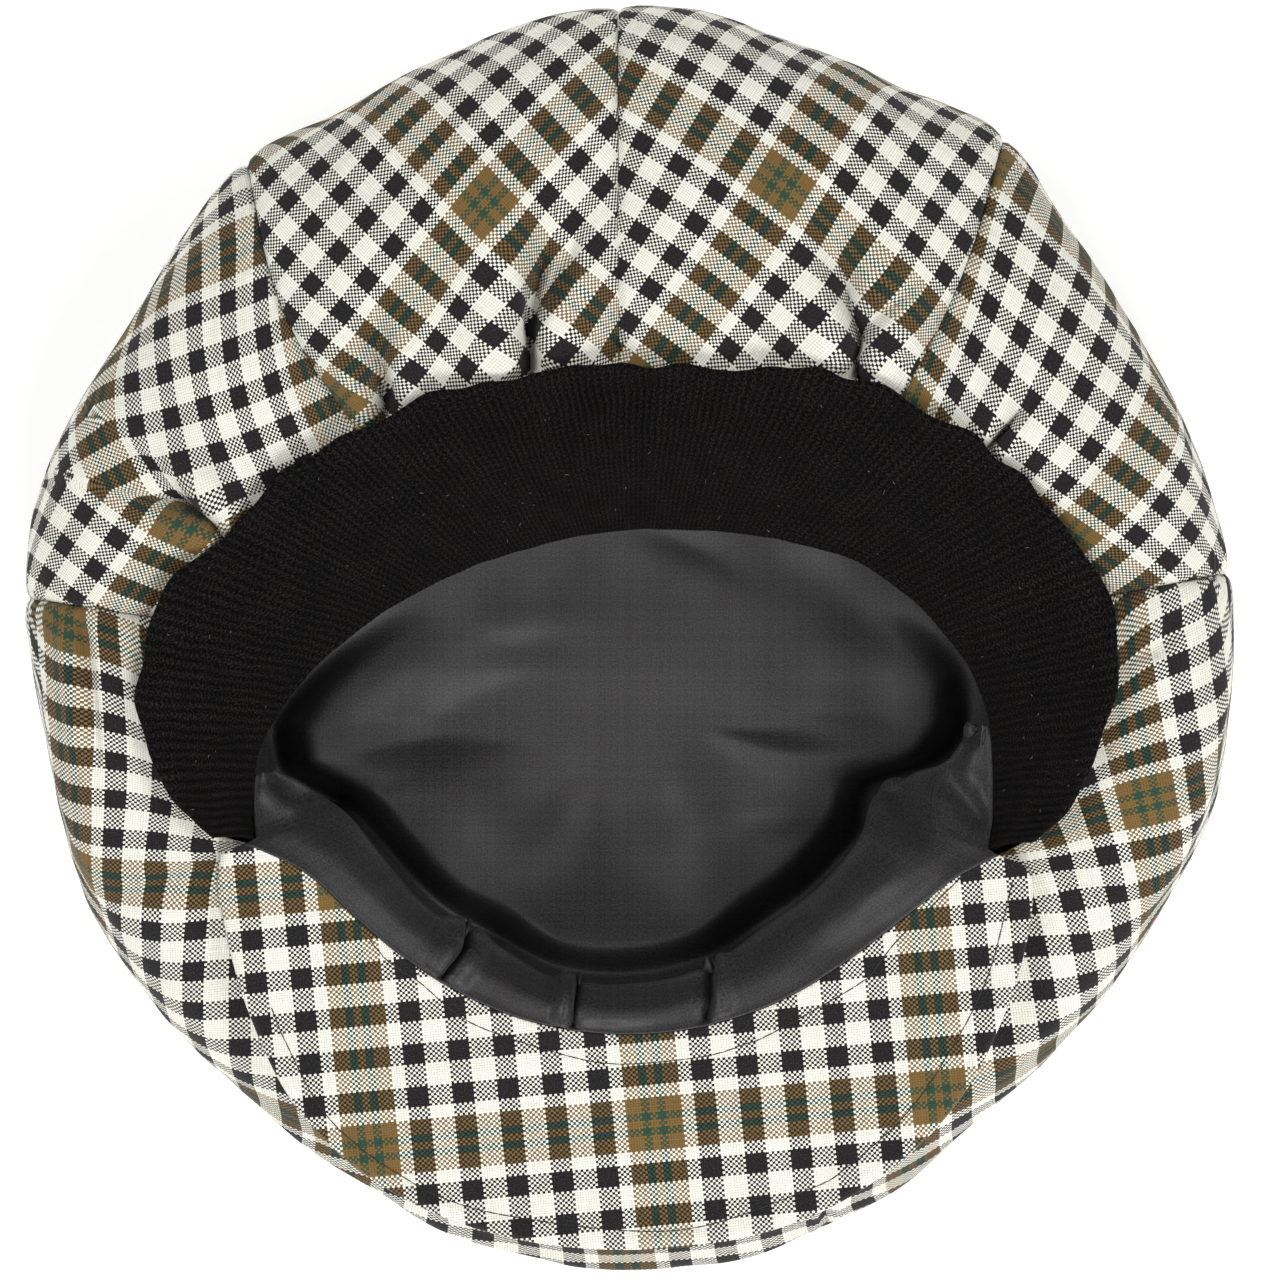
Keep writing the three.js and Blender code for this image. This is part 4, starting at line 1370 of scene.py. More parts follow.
@dataclass
class Crown:
    """The cloth crown: five pieces that meet at dipped seams, gathered into the opening."""

    wall: float = 1.0
    seam_crevice: Point = (1.3, 0.8)
    seam_round: Point = (1.1, 3.0)
    puff: float = 2.8
    puff_reach: float = 14.0
    cut_spare: float = 1.02
    bottom_rows: int = 10
    side_rows: int = 26
    crest_rows: int = 96
    front_crest_rows: int = 70
    bunching: float = 0.6
    gathers: int = 44
    gather_reach: float = 22.0
    seam_gap: float = 0.12
    pucker: float = 0.16
    pucker_width: float = 3.5
    waves: Waves = ((0.5, 34, 3), (0.14, 13, 4))
    side_ease: float = 0.9
    pattern_reach: Point = (7.0, 7.0)
    lay_change: Point = (120.0, 240.0)
    peak_shadow: Point = (2.2, 7.0)
    button: tuple[Point, ...] = (
        (0.02, 0.0), (3.0, 0.0), (5.5, 0.05), (7.4, 0.3), (8.3, 0.8), (8.9, 1.5), (9.0, 2.3),
        (8.8, 3.1), (8.0, 3.7), (6.0, 3.9), (3.0, 4.0), (0.02, 4.0),
    )
    button_ease: float = 1.15
    folds: tuple[Crease, ...] = CROWN_FOLDS
    seams: tuple[float, ...] = (-86.5, -39.2, -1.2, 37.0, 84.0)

    def _rows(self, cut: PanelCut) -> Array:
        """Spreads the rows of a piece, closer over the crest."""
        crest = self.front_crest_rows if cut.under_peak else self.crest_rows
        return np.concatenate([
            np.linspace(0, 1, self.bottom_rows, endpoint=False),
            np.linspace(1, 2, self.side_rows, endpoint=False),
            2 + np.linspace(0, 1, crest + 1) ** 0.92,
        ])

    def _bearings(self, cut: PanelCut) -> Array:
        """Spreads the columns of a piece, closer beside its seams."""
        share = np.linspace(0, 1, cut.columns + 1)
        share = share - self.bunching * np.sin(2 * np.pi * share) / (2 * np.pi)
        return lerp(cut.start, cut.end, share)

    def _gather_relief(self, bearing: Array, up: Array) -> Array:
        """Presses in the small gathers that run out from the opening's edge."""
        draw = np.random.default_rng(11)
        relief = np.zeros(np.broadcast(bearing, up).shape)
        for k in range(self.gathers):
            at = -180 + (k + draw.uniform(0.1, 0.9)) * 360 / self.gathers
            depth = draw.uniform(0.1, 0.6)
            width = draw.uniform(1.0, 2.0)
            reach = draw.uniform(0.12, 0.42)
            turn = draw.uniform(-4, 4)
            away = wrap(bearing - at - turn * (1 - up), -180)
            strength = smoothstep(up, 1 - reach, 1 - 0.25 * reach)
            relief -= depth * bell(away, width) * strength
        return relief

    def _seam_relief(self, row: Array, from_seam: Array) -> Array:
        """Dips the cloth into its seams, and puckers it beside them."""
        dip = np.zeros(row.shape)
        for depth, width in (self.seam_crevice, self.seam_round):
            dip += depth * bell(from_seam, width)
        shallow = lerp(0.55, 1.0, smoothstep(row, 2.05, 2.4))
        dip = dip * smoothstep(row, 1.05, 1.6) * shallow
        beside = bell(from_seam - self.pucker_width, self.pucker_width)
        pucker = np.sin(row * 95 + 3 * np.sin(row * 17)) * beside
        return self.pucker * pucker * smoothstep(row, 1.3, 1.9) - dip

    def _sunk(self, bearing: Array, radius: Array) -> Array:
        """Finds how far the cloth sinks before the peak's edge."""
        turned = wrap(bearing, 90)
        beyond = np.maximum(radius - FORM.peak_edge.at(turned), 0)
        first, last = FORM.peak_ends
        beside = smoothstep(turned, first, first + 8) * (1 - smoothstep(turned, last - 8, last))
        depth, reach = self.peak_shadow
        return depth * bell(beyond, reach) * beside

    def face(self, cut: PanelCut) -> tuple[Array, Array]:
        """Shapes one piece of the crown.

        Args:
            cut: the piece.

        Returns:
            Its grid of points in millimetres, and the rows' values.
        """
        rows = self._rows(cut)
        row = np.broadcast_to(rows, (cut.columns + 1, len(rows)))
        bearing = self._bearings(cut)[:, None] + 0 * row
        base = FORM.crown_base(bearing, row)
        half = np.degrees(self.seam_gap / 2 / np.hypot(base[..., 0], base[..., 1]))
        share = (bearing - cut.start) / (cut.end - cut.start)
        bearing = lerp(cut.start + half, cut.end - half, share)
        base = FORM.crown_base(bearing, row)
        up = np.clip(row - 2, 0, 1)
        place = wrap(bearing, -180)
        to_seam = np.min([np.abs(place - seam) for seam in self.seams], axis=0)
        from_seam = np.radians(to_seam) * np.hypot(base[..., 0], base[..., 1])
        puffed = smoothstep(to_seam, 0, self.puff_reach) * smoothstep(up, 0.12, 0.4)
        relief = self.puff * puffed * np.sin(np.pi * up)
        relief += self._seam_relief(row, from_seam)
        mouth_bearing, mouth_radius = FORM.to_mouth(base)
        relief += self._gather_relief(mouth_bearing, up)
        relief += rough(base, self.waves) * smoothstep(row, 1.15, 1.9)
        if cut.under_peak:
            relief -= self._sunk(mouth_bearing, mouth_radius) * smoothstep(row, 2.0, 2.15)
        tucked = 1 - smoothstep(up, 0.975, 1.0)
        normals = grid_normals(base)
        outward = np.where(normals[cut.columns // 2, -2, 2] < 0, -1.0, 1.0)
        points = base + normals * outward * (relief * tucked)[..., None]
        points = apply_creases(points, self.folds, tucked * smoothstep(row, 1.9, 2.15))
        under = FORM.peak_underside(points)
        held = np.where(row > 2, np.minimum(points[..., 2], under), points[..., 2])
        points[..., 2] = np.maximum(held, 0.0)
        return points, rows

    def pattern(self, cut: PanelCut, points: Array, rows: Array) -> Array:
        """Places the threads of a piece.

        Args:
            cut: the piece.
            points: its grid.
            rows: the rows' values.

        Returns:
            The place of each point on the cloth, in millimetres from a crossing of bars.
        """
        smooth = blur(points, self.pattern_reach)
        placed = [self._lay_flat(cut, lay, smooth, rows) for lay in cut.lays]
        middle = int(np.argmin(np.abs(self._bearings(cut) - sum(self.lay_change) / 2)))
        apart = (placed[0] - placed[-1])[middle, -1]
        placed[-1] = placed[-1] + np.round(apart / CheckCloth().repeat) * CheckCloth().repeat
        to_end = smoothstep(self._bearings(cut), *self.lay_change)[:, None, None]
        return lerp(placed[0], placed[-1], to_end)

    def _lay_flat(self, cut: PanelCut, lay: Lay, smooth: Array, rows: Array) -> Array:
        """Lays a piece flat as a part of a cone.

        Args:
            cut: the piece.
            lay: how its cloth lies.
            smooth: its grid without small relief.
            rows: the rows' values.

        Returns:
            The place of each point on the cloth, in millimetres from a crossing of bars.
        """
        run = run_along(smooth[:, ::-1])[:, ::-1]
        _, start = FORM.to_mouth(smooth[:, -1])
        reach = start[:, None] / lay.cone + run * lay.along
        along = unit(np.gradient(smooth, axis=1))
        along = unit(along[1:] + along[:-1])
        step = np.diff(smooth, axis=0)
        slip = np.sum(step * along, axis=-1)
        width = np.sqrt(np.maximum(np.sum(step * step, axis=-1) - slip**2, 0))
        ease = lay.around + lay.gather * np.exp(-run / self.gather_reach)
        width = width * (ease[1:] + ease[:-1]) / 2
        angle = width / ((reach[1:] + reach[:-1]) / 2)
        angle = np.concatenate([np.zeros((1, len(rows))), np.cumsum(angle, axis=0)])
        middle = int(np.argmin(np.abs(self._bearings(cut) - cut.middle)))
        angle = angle - angle[middle]
        turned = math.radians(cut.middle) + angle
        flat = np.stack([reach * np.sin(turned), reach * np.cos(turned)], axis=-1)
        if cut.under_peak:
            flat = self._straighten_side(flat, smooth, rows)
        flat = flat @ turn_by(lay.grain)
        plan = (smooth + SHIFT)[..., :2]
        for dart in lay.darts:
            flat = dart.hide(plan, flat)
        return flat - self._at(plan, flat, rows, lay.crossing)

    def _straighten_side(self, flat: Array, smooth: Array, rows: Array) -> Array:
        """Lays the front piece's side straight out from its widest line, and its bottom in."""
        floor, edge = (int(np.searchsorted(rows, row)) for row in (1.0, 2.0))
        centre = np.array([0.0, -FORM.mouth_centre_y])
        run = run_along(smooth[:, : edge + 1])
        down = (run[:, -1:] - run[:, floor:])[..., None]
        away = unit(flat[:, edge] - flat[:, edge + 2])[:, None]
        flat[:, floor : edge + 1] = flat[:, edge : edge + 1] + self.side_ease * away * down
        out = np.linalg.norm(smooth[:, 0, :2], axis=-1)[:, None] + run[:, : floor + 1]
        share = (out / out[:, -1:])[..., None]
        flat[:, : floor + 1] = centre + (flat[:, floor : floor + 1] - centre) * share
        return flat

    def _at(self, plan: Array, flat: Array, rows: Array, place: Point) -> Array:
        """Reads the cloth's own place at a place on the upper face, seen from above."""
        to = np.array(place) - plan
        away = np.where(rows[None, :] >= 2, np.linalg.norm(to, axis=-1), FAR)
        i, j = np.unravel_index(int(np.argmin(away)), away.shape)
        i, j = min(max(i, 1), len(plan) - 2), min(max(j, 1), len(rows) - 2)
        seen = np.array([plan[i + 1, j] - plan[i - 1, j], plan[i, j + 1] - plan[i, j - 1]]).T
        cloth = np.array([flat[i + 1, j] - flat[i - 1, j], flat[i, j + 1] - flat[i, j - 1]]).T
        return flat[i, j] + cloth @ np.linalg.solve(seen, to[i, j])

    def build(self, finishes: Finishes) -> list[bpy.types.Object]:
        """Builds and dresses every piece of the crown.

        Args:
            finishes: the materials.

        Returns:
            The pieces.
        """
        pieces = []
        for panel in Panel:
            cut = panel.value
            points, rows = self.face(cut)
            pattern = self.pattern(cut, points, rows)
            look = (finishes.check, Slot.CHECK)
            piece = make_cloth(cut.node, points, pattern, self.wall, look, flip=True)
            self._declare(points, pattern)
            pieces.append(piece)
        pieces.append(self._button(finishes))
        return pieces

    def _declare(
        self, points: Array, pattern: Array
    ) -> None:
        """Works out the size of a crown piece's flat cut, with spare cloth; the size is not kept.
        """
        size = np.ptp(pattern.reshape(-1, 2), axis=0) * MM
        area = grid_area(points)
        spare = math.sqrt(self.cut_spare * area / float(size[0] * size[1]))
        size = size * max(1.0, spare)

    def _button(self, finishes: Finishes) -> bpy.types.Object:
        """Builds the covered button that closes the middle of the crown."""
        turn = np.linspace(0, 2 * np.pi, 65)[:-1, None]
        out, rise = np.array(self.button).T
        section = np.broadcast_arrays(out * np.cos(turn), out * np.sin(turn), rise)
        points = np.stack(section, axis=-1)
        points = np.concatenate([points, points[:1]])
        piece = make_grid("button_cover", points, points[..., :2] * self.button_ease)
        mend(piece, weld=0.04)
        dress(piece, finishes.check)
        fasten(piece, Slot.CHECK, "crown_button")
        return piece


OUTER_STITCH = (
    (-82.0, -85.3), (-79.2, -92.2), (-71.4, -107.2), (-62.2, -116.8), (-51.6, -124.0),
    (-44.0, -128.1), (-30.2, -132.2), (-2.6, -135.9), (17.1, -134.8), (41.7, -126.0),
    (48.6, -121.9), (60.1, -112.0), (67.7, -102.8), (74.2, -92.2), (78.3, -84.6),
    (82.5, -74.1), (86.8, -56.4),
)
INNER_STITCH = (
    (-59.5, -69.2), (-55.3, -74.1), (-48.2, -78.9), (-36.5, -88.1), (-16.0, -95.2),
    (-2.6, -97.5), (15.8, -95.9), (26.1, -92.9), (32.5, -90.2), (52.3, -78.9), (57.2, -73.4),
    (61.5, -68.3), (74.9, -55.0),
)


@dataclass
class Peak:
    """The peak: two cloths turned at the outer edge, with two lines of stitches."""

    wall: float = 1.3
    flat: Point = (0.192, 0.098)
    grid: tuple[int, int] = (330, 72)
    hidden_grid: tuple[int, int] = (160, 24)
    grain: float = 5.5
    crossing: Point = (5.4, -111.3)
    row_scale: float = 0.95
    edge_round: float = 2.0
    edge_clear: float = 0.12
    edge_bunching: float = 1.25
    groove: float = 0.4
    groove_width: float = 0.9
    bead: float = 0.45
    bead_width: float = 1.5
    stitch_rise: float = 0.08
    waves: Waves = ((0.22, 26, 21), (0.06, 9, 22))

    def _face(self, bearing: Array, share: Array) -> Array:
        """Places points on the peak's upper face with its stitched grooves."""
        points = FORM.peak_face(bearing, share)
        plan = (points + SHIFT)[..., :2]
        for line in (OUTER_STITCH, INNER_STITCH):
            away, _, _ = along_line(plan, smooth_line(line))
            points[..., 2] -= self.groove * bell(away, self.groove_width)
        wide = FORM.peak_edge.at(bearing) - FORM.mouth_rim.at(bearing)
        from_edge = (1 - share) * wide - 1.2 * self.bead_width
        points[..., 2] += self.bead * bell(from_edge, self.bead_width) * smoothstep(wide, 4, 12)
        points[..., 2] += rough(points, self.waves) * smoothstep(share, 0.0, 0.2)
        return points

    def _cloth(self, under: bool) -> Array:
        """Shapes one cloth of the peak as a grid that turns down at its outer edge."""
        columns, rows = self.grid if under else self.hidden_grid
        bearing = np.linspace(FORM.peak_ends[0], FORM.peak_ends[1], columns + 1)[:, None]
        share = 1 - (1 - np.linspace(0, 1, rows + 1)[None, :]) ** self.edge_bunching
        points = self._face(bearing, share * np.ones_like(bearing))
        edge = FORM.peak_edge.at(bearing) - FORM.mouth_rim.at(bearing)
        inset = np.clip(1 - (1 - share) * edge / self.edge_round, 0, 1)
        middle = FORM.peak_depth / 2
        drop = (1 - np.sqrt(np.maximum(1 - inset**2, 0))) * (middle - self.edge_clear)
        points[..., 2] -= drop if under else FORM.peak_depth - drop
        return points

    def _pattern(self, points: Array) -> Array:
        """Places the threads of the peak's cloth."""
        plan = (points + SHIFT)[..., :2] - np.array(self.crossing)
        return plan @ turn_by(self.grain) / np.array([1, self.row_scale])

    def _stitches(self, finishes: Finishes, stitching: Stitching) -> list[bpy.types.Object]:
        """Sews the peak's two lines of stitches.

        Args:
            finishes: the materials.
            stitching: what sews.

        Returns:
            A piece for each line.
        """
        pieces = []
        for number, line in enumerate((OUTER_STITCH, INNER_STITCH)):
            path = smooth_line(line) - SHIFT[:2]
            bearing, radius = FORM.to_mouth(path)
            bearing = wrap(bearing, 90)
            rim = FORM.mouth_rim.at(bearing)
            share = (radius - rim) / (FORM.peak_edge.at(bearing) - rim)
            keep = (share > 0.01) & (share < 0.985)
            laid = self._face(bearing[keep], share[keep])
            laid[..., 2] += self.stitch_rise
            piece = stitching.sew(f"peak_stitches_{number + 1}", laid, finishes.thread)
            fasten(piece, Slot.CHECK)
            pieces.append(piece)
        return pieces

    def build(self, finishes: Finishes, stitching: Stitching) -> list[bpy.types.Object]:
        """Builds and dresses the peak.

        Args:
            finishes: the materials.
            stitching: what sews.

        Returns:
            Its two cloths and its two lines of stitches.
        """
        stitches = self._stitches(finishes, stitching)
        pieces = []
        for node, under in (("peak_under", True), ("peak_top", False)):
            points = self._cloth(under)
            pattern = self._pattern(points)
            look = (finishes.check, Slot.CHECK)
            piece = make_cloth(node, points, pattern, self.wall, look, flip=not under)
            pieces.append(piece)
        return pieces + stitches


@dataclass
class KnitBand:
    """The knit ear band: a doubled strip of fine ribs that folds over the rim.

    Its dips are where the crown's folds pinch its own fold: bearing, depth, half width.
    """

    rib: float = 2.1
    ribs: int = 168
    per_rib: int = 6
    depth: float = 0.34
    face_rows: int = 40
    back_rows: int = 14
    turn_rows: int = 7
    width: float = 44.0
    end_wall: float = 1.7
    flat: Point = (0.37, 0.048)
    stretch: float = 1.12
    waves: Waves = ((0.28, 20, 31), (0.12, 7, 32))
    wander: Waves = ((0.25, 9, 33),)
    worn: Waves = ((0.3, 16, 34),)
    drawn: Waves = ((0.8, 13, 35),)
    lint: int = 70
    lint_lift: float = 0.4
    lint_size: Point = (0.05, 0.07)
    guides: tuple[str, str] = ("along_band", "relief")
    dips: tuple[tuple[float, float, float], ...] = (
        (-17.5, 0.8, 4.0), (34.0, 0.9, 4.0), (56.0, 0.9, 4.0), (-42.0, 0.9, 4.0),
        (-68.0, 1.3, 4.0), (-81.0, 1.0, 3.0), (79.0, 1.0, 3.0), (-2.0, 0.3, 3.0),
    )

    def _profile(self) -> tuple[Array, Array, Array]:
        """Lists the rows round the doubled strip.

        Returns:
            For each row, its place from the fold to the inner edge, its depth behind the
            face as a share of the wall, and how far it has come round, in millimetres.
        """
        face = np.linspace(0.02, 0.98, self.face_rows)
        turn = np.linspace(0, np.pi, self.turn_rows + 2)[1:-1]
        inner = 0.98 + 0.035 * np.sin(turn)
        inner_depth = (1 - np.cos(turn)) / 2
        back = np.linspace(0.98, 0.02, self.back_rows)
        fold = 0.02 - 0.045 * np.sin(turn)
        row = np.concatenate([face, inner, back, fold])
        depth = np.concatenate([0 * face, inner_depth, 0 * back + 1, 1 - inner_depth])
        return row, depth, row * self.width

    def _shape(self) -> tuple[Array, Array, Array]:
        """Shapes the band.

        Returns:
            Its grid in millimetres, its pattern and the share of the rib relief.
        """
        row, depth, run = self._profile()
        columns = self.ribs * self.per_rib + 1
        share = np.linspace(0, 1, columns)[:, None]
        row, depth = row[None, :], depth[None, :]
        start, end = (lerp(*ends, row) for ends in FORM.band_ends)
        bearing = lerp(start, end, share)
        face = FORM.band_face(bearing, row)
        normals = grid_normals(face[:, : self.face_rows])
        if normals[columns // 2, self.face_rows // 2, 2] <= 0:
            normals = -normals
        out = unit(lerp(normals[:, :1], normals[:, -1:], np.clip(row, 0, 1)[..., None]))
        out[:, : self.face_rows] = normals
        edge = np.minimum(share, 1 - share) * 180
        wall = lerp(self.end_wall, FORM.knit - 0.4, smoothstep(edge, 0, 4)) + 0 * row
        dips = np.zeros_like(bearing)
        for at, amount, width in self.dips:
            dips += amount * bell(wrap(bearing - at, -180), width)
        dips = dips * bell(row, 0.35)
        points = face - out * (depth * wall)[..., None]
        points = points + out * ((rough(face, self.waves) - dips) * (1 - depth))[..., None]
        angle = np.radians(bearing)
        inward = -np.stack([np.sin(angle), np.cos(angle)], axis=-1)
        drawn = 0.8 * dips + rough(face, self.drawn) * bell(row, 0.25)
        points[..., :2] += inward * drawn[..., None]
        place = share * self.ribs * self.rib + rough(face, self.wander)
        pattern = np.stack(np.broadcast_arrays(place, run[None, :]), axis=-1)
        worn = 0.7 + rough(face, self.worn)
        ends = smoothstep(row, 0.0, 0.1) * (1 - 0.75 * smoothstep(row, 0.2, 0.6))
        relief = worn * (0.1 + 0.9 * ends) * (1 - 0.7 * depth) * smoothstep(edge, 0, 1.5)
        return points, pattern, relief

    def _rib_tree(self) -> bpy.types.NodeTree:
        """Builds the tree that raises the ribs along the strip."""
        tree, graph, given, out = geometry_tree("ribs", Rib=self.rib * MM, Depth=self.depth * MM)
        read = [
            graph.fill(graph.add("GeometryNodeInputNamedAttribute", data_type="FLOAT"), Name=name)
            for name in self.guides
        ]
        count = graph.math("DIVIDE", read[0].outputs[0], given.outputs["Rib"])
        wave = graph.math("COSINE", graph.math("MULTIPLY", count, 2 * math.pi))
        height = graph.math("MULTIPLY", wave, given.outputs["Depth"])
        height = graph.math("MULTIPLY", height, read[1].outputs[0])
        normal = graph.add("GeometryNodeInputNormal")
        offset = graph.add("ShaderNodeVectorMath", normal.outputs[0], operation="SCALE")
        graph.fill(offset, Scale=height)
        move = graph.add("GeometryNodeSetPosition")
        graph.fill(move, Geometry=given.outputs["Geometry"], Offset=offset.outputs[0])
        end_tree(graph, move.outputs[0], given, out)
        return tree

    def _lint(self, points: Array, finishes: Finishes) -> bpy.types.Object:
        """Scatters short pale fibres over the band's face."""
        draw = np.random.default_rng(5)
        face = points[:, : self.face_rows]
        verts: list[tuple[float, float, float]] = []
        faces: list[tuple[int, ...]] = []
        for _ in range(self.lint):
            i = int(draw.integers(20, face.shape[0] - 20))
            j = int(draw.integers(1, face.shape[1] - 1))
            centre = face[i, j] + np.array([0, 0, self.lint_lift])
            turn = draw.uniform(0, np.pi)
            length = draw.uniform(0.1, 0.45)
            course = np.array([math.cos(turn), math.sin(turn), draw.uniform(-0.2, 0.2)]) * length
            aside = np.array([-math.sin(turn), math.cos(turn), 0]) * self.lint_size[0]
            up = np.array([0, 0, self.lint_size[1]])
            at = len(verts)
            for spot in (centre - course, centre + 0.2 * aside, centre + course):
                for edge in (aside, -0.5 * aside + up, -0.5 * aside - up):
                    verts.append(tuple((spot + edge + SHIFT) * MM))
            for k in (0, 3):
                for a, b in ((0, 1), (1, 2), (2, 0)):
                    faces.append((at + k + a, at + k + b, at + k + 3 + b, at + k + 3 + a))
            faces.append((at + 2, at + 1, at))
            faces.append((at + 6, at + 7, at + 8))
        mesh = bpy.data.meshes.new("band_lint")
        mesh.from_pydata(verts, [], faces)
        piece = add_object("band_lint", mesh)
        dress(piece, finishes.lint)
        fasten(piece, Slot.KNIT)
        return piece

    def build(self, finishes: Finishes) -> list[bpy.types.Object]:
        """Builds and dresses the band.

        Args:
            finishes: the materials.

        Returns:
            The band and the lint on it.
        """
        points, pattern, relief = self._shape()
        values = dict(zip(self.guides, (pattern[..., 0] * MM, relief)))
        piece = make_grid("knit_band_cloth", points, pattern, values, round_rows=True)
        mend(piece)
        plain = piece.data
        piece.data = run_tree(
            piece, self._rib_tree(), Rib=self.rib * MM, Depth=self.depth * MM, Finish=finishes.knit
        )
        bpy.data.meshes.remove(plain)
        piece.data.name = piece.name
        dress(piece, finishes.knit)
        for name in self.guides:
            layer = piece.data.attributes.get(name)
            if layer:
                piece.data.attributes.remove(layer)
        fasten(piece, Slot.KNIT, "knit_band")
        lint = self._lint(points, finishes)
        return [piece, lint]


FACING_CREASES = (
    Crease(((-37.2, -60.4), (-38.2, -71.4), (-44.3, -79.4)), 3.4, 1.7, left=0.5, right=0.7,
           lean=1.4, fade_in=0.1),
    Crease(((-11.5, -73.0), (-13.2, -84.6), (-13.9, -94.6)), 3.2, 1.5, left=0.1, right=1.0,
           lean=1.4, fade_in=0.1),
    Crease(((18.4, -72.0), (17.8, -83.5), (16.1, -93.6)), 2.8, 1.7, left=0.8, right=0.1,
           lean=0.8, fade_in=0.1, fade_out=0.4),
    Crease(((57.6, -29.2), (62.9, -40.2), (68.0, -48.9)), 1.8, 3.4, left=0.5, right=0.3,
           fade_in=0.3, fade_out=0.3),
    Crease(((71.0, -30.5), (79.0, -40.2), (86.5, -46.6)), 2.0, 2.4, left=0.5, right=0.3,
           fade_in=0.3, fade_out=0.3),
    Crease(((77.0, -4.0), (75.0, -16.3), (82.0, -27.7)), 2.0, 2.2, left=0.5, right=0.2,
           fade_in=0.3, fade_out=0.3),
    Crease(((-84.5, -30.5), (-79.0, -35.6), (-73.0, -38.5)), 1.8, 1.8, left=0.6, right=0.6,
           fade_in=0.3, fade_out=0.3),
)


@dataclass
class FrontFacing:
    """The satin strip at the front of the opening, with a soft rolled free edge and pleats."""

    wall: float = 0.7
    flat: Point = (0.235, 0.034)
    columns: int = 440
    rows: int = 48
    pattern_radius: float = 74.0
    waves: Waves = ((0.7, 22, 41), (0.18, 9, 42))
    bulge: float = 2.8
    roll: float = 1.6
    rolled: float = 0.78
    slope: float = 0.84
    creases: tuple[Crease, ...] = FACING_CREASES

    def _shape(self) -> tuple[Array, Array]:
        """Shapes the facing, and gives its grid and pattern in millimetres."""
        first, last = FORM.facing_free.rows[0][0], FORM.facing_free.rows[-1][0]
        bearing = np.linspace(first, last, self.columns + 1)[:, None]
        share = np.linspace(0, 1, self.rows + 1)[None, :]
        seat, high = FORM.facing_seat(bearing)
        free = FORM.facing_free.at(bearing)
        wide = np.maximum(seat - free, 0.5)
        roll = np.minimum(self.roll, 0.3 * wide)
        flat = np.clip(share / self.rolled, 0, 1)
        lean = math.atan(self.slope)
        turn = lerp(lean, np.pi, np.clip((share - self.rolled) / (1 - self.rolled), 0, 1))
        across = flat * (wide - roll * (1 - math.sin(lean)))
        across = across + roll * (np.sin(turn) - math.sin(lean))
        height = high - self.slope * flat * wide + self.bulge * np.sin(np.pi * flat) ** 2
        height = height - roll * (math.cos(lean) - np.cos(turn))
        points = FORM.around_mouth(bearing, seat - across, height)
        points[..., 2] += rough(points, self.waves) * smoothstep(share, 0, 0.25)
        mask = smoothstep(share, 0.0, 0.12) * (1 - 0.6 * smoothstep(share, 0.8, 1.0))
        points = apply_creases(points, self.creases, mask * np.ones_like(bearing))
        run = np.radians(bearing) * self.pattern_radius
        pattern = np.stack(np.broadcast_arrays(run, share * (wide + 2 * roll)), axis=-1)
        return points, pattern

    def build(self, finishes: Finishes) -> list[bpy.types.Object]:
        """Builds and dresses the facing.

        Args:
            finishes: the materials.

        Returns:
            The facing.
        """
        points, pattern = self._shape()
        look = (finishes.satin, Slot.SATIN)
        piece = make_cloth("front_facing", points, pattern, self.wall, look, flip=True)
        return [piece]


LINING_CREASES = (
    Crease(((-46.0, -5.2), (-33.0, -2.8), (-20.3, -1.4), (2.0, -2.4)), 0.5, 3.0, left=1.0,
           right=0.3, fade_in=0.5, fade_out=0.5),
    Crease(((-6.0, 30.2), (11.0, 22.4), (19.7, 18.6), (34.0, 9.0)), 0.8, 3.2, left=0.3,
           right=0.4, fade_in=0.5, fade_out=0.5),
    Crease(((10.0, -50.1), (30.0, -47.2), (52.7, -42.9)), 0.4, 3.0, left=1.2, right=0.2,
           fade_in=0.5, fade_out=0.5),
)


@dataclass
class LiningBag:
    """The satin lining, a soft bag whose floor lies on the crown."""

    wall: float = 0.6
    flat: Point = (0.27, 0.25)
    steps: int = 170
    floor: float = 4.5
    slow_rise: float = 1.1
    waves: Waves = ((1.1, 48, 51), (0.35, 18, 52))
    swell: float = 8.0
    swell_start: Point = (0.0, 9.0)
    swell_end: Point = (14.0, 44.0)
    swell_fade: Point = (78.0, 116.0)
    dip: float = 10.0
    dip_reach: float = 7.0
    creases: tuple[Crease, ...] = LINING_CREASES

    def _swell(self, bearing: Array, radius: Array) -> Array:
        """Gives how far the lining dips by the opening's edge and swells up beyond it."""
        free = FORM.facing_free.at(bearing)
        beyond = np.minimum(free, FORM.band_inner.at(wrap(bearing, -180))) - radius
        front = 1 - smoothstep(np.abs(bearing - 180), *self.swell_fade)
        rise = smoothstep(beyond, *self.swell_start) * (1 - smoothstep(beyond, *self.swell_end))
        return front * (self.swell * rise - self.dip * bell(beyond + 2, self.dip_reach))

    def build(self, finishes: Finishes) -> list[bpy.types.Object]:
        """Builds and dresses the lining.

        Args:
            finishes: the materials.

        Returns:
            The lining.
        """
        u = np.linspace(0, 1, self.steps + 1)[:, None]
        v = np.linspace(0, 1, self.steps + 1)[None, :]
        points = FORM.lining_face(u, v)
        bearing, radius = FORM.to_mouth(points)
        rim = FORM.mouth_rim.at(bearing)
        inside = 1 - smoothstep(radius / rim, 0.8, 0.95)
        rise = self.slow_rise + rough(points, self.waves)
        rise = rise + self._swell(wrap(bearing, 0), radius)
        points[..., 2] += rise * inside
        points = apply_creases(points, self.creases, inside)
        points[..., 2] = np.maximum(points[..., 2], self.floor)
        look = (finishes.satin, Slot.SATIN)
        piece = make_cloth("lining", points, points[..., :2], self.wall, look)
        return [piece]


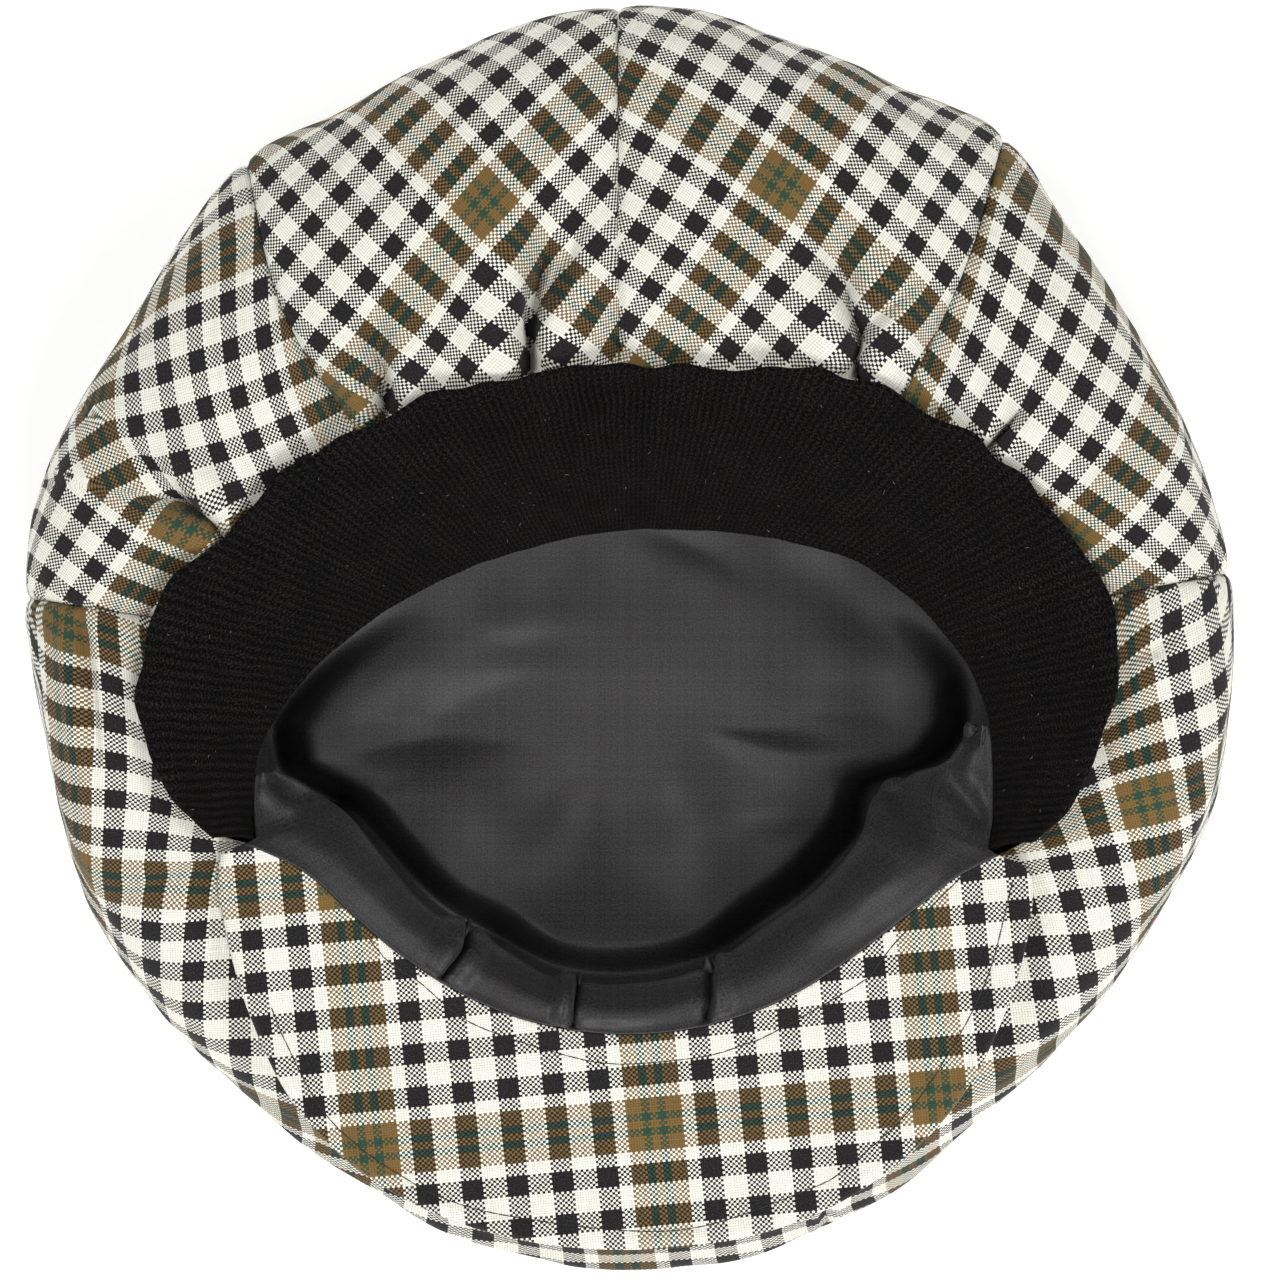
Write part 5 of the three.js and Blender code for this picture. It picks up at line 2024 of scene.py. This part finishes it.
@dataclass
class Studio:
    """The pale floor, soft lights and the camera over the cap.

    Each lamp has its place in x, y and z, its size and its power.
    """

    view_centre: Point = (1.96, -0.69)
    view_width: float = 0.2944
    view_plane: float = 0.035
    camera_height: float = 3.4
    sensor: float = 36.0
    floor_size: float = 14.0
    lamps: tuple[tuple[float, ...], ...] = (
        (0.5, -2.1, 2.4, 1.0, 66.0),
        (-2.1, 0.7, 2.2, 1.4, 42.0),
        (2.2, 0.4, 2.2, 1.4, 38.0),
    )

    def build(self) -> None:
        """Builds the floor, the lights and the camera."""
        self._camera()
        self._floor()
        self._lights()

    def _camera(self) -> None:
        """Places the camera straight over the cap."""
        data = bpy.data.cameras.new("camera")
        data.sensor_width = self.sensor
        data.lens = self.sensor * (self.camera_height - self.view_plane) / self.view_width
        data.clip_start, data.clip_end = 0.05, 50.0
        data.dof.use_dof = False
        camera = add_object("camera", data)
        camera.location = (self.view_centre[0] * MM, self.view_centre[1] * MM, self.camera_height)
        bpy.context.scene.camera = camera

    def _floor(self) -> None:
        """Lays the pale floor."""
        half = self.floor_size / 2
        mesh = bpy.data.meshes.new("floor")
        corners = [(-half, -half, 0), (half, -half, 0), (half, half, 0), (-half, half, 0)]
        mesh.from_pydata(corners, [], [(0, 1, 2, 3)])
        floor = add_object("floor", mesh)
        material, graph, shader = new_material("pale floor")
        where = graph.add("ShaderNodeTexCoord")
        noise = graph.add("ShaderNodeTexNoise", where.outputs["Object"])
        graph.fill(noise, Scale=3.0)
        colour = graph.mix(noise.outputs[0], linear(244, 244, 244), linear(248, 248, 247))
        graph.fill(shader, Base_Color=colour, Roughness=0.9)
        graph.fill(shader, Emission_Color=(1, 1, 1, 1), Emission_Strength=0.4)
        dress(floor, material)

    def _lights(self) -> None:
        """Hangs the soft lamps and lights the air."""
        for number, (x, y, z, size, power) in enumerate(self.lamps):
            data = bpy.data.lights.new(f"lamp_{number + 1}", "AREA")
            data.shape = "SQUARE"
            data.size = size
            data.energy = power
            lamp = add_object(data.name, data)
            lamp.location = (x, y, z)
            lamp.rotation_mode = "QUATERNION"
            lamp.rotation_quaternion = Vector((-x, -y, -z)).to_track_quat("-Z", "Y")
            lamp.visible_camera = False
        world = bpy.data.worlds.new("air")
        world.use_nodes = True
        sky = world.node_tree.nodes["Background"]
        sky.inputs["Color"].default_value = (1.0, 1.0, 1.0, 1.0)
        sky.inputs["Strength"].default_value = 0.3
        bpy.context.scene.world = world
        bpy.context.scene.view_settings.view_transform = "Standard"


def main() -> None:
    """Builds the studio and the cap in order, and reports each piece."""
    logging.basicConfig(level=logging.INFO, format="%(message)s")
    Studio().build()
    finishes = Finishes.build()
    pieces: list[bpy.types.Object] = []
    pieces += Crown().build(finishes)
    pieces += Peak().build(finishes, Stitching())
    pieces += KnitBand().build(finishes)
    pieces += FrontFacing().build(finishes)
    pieces += LiningBag().build(finishes)
    for piece in pieces:
        LOG.info("%s: %d faces", piece.name, len(piece.data.polygons))


if __name__ == "__main__":
    main()
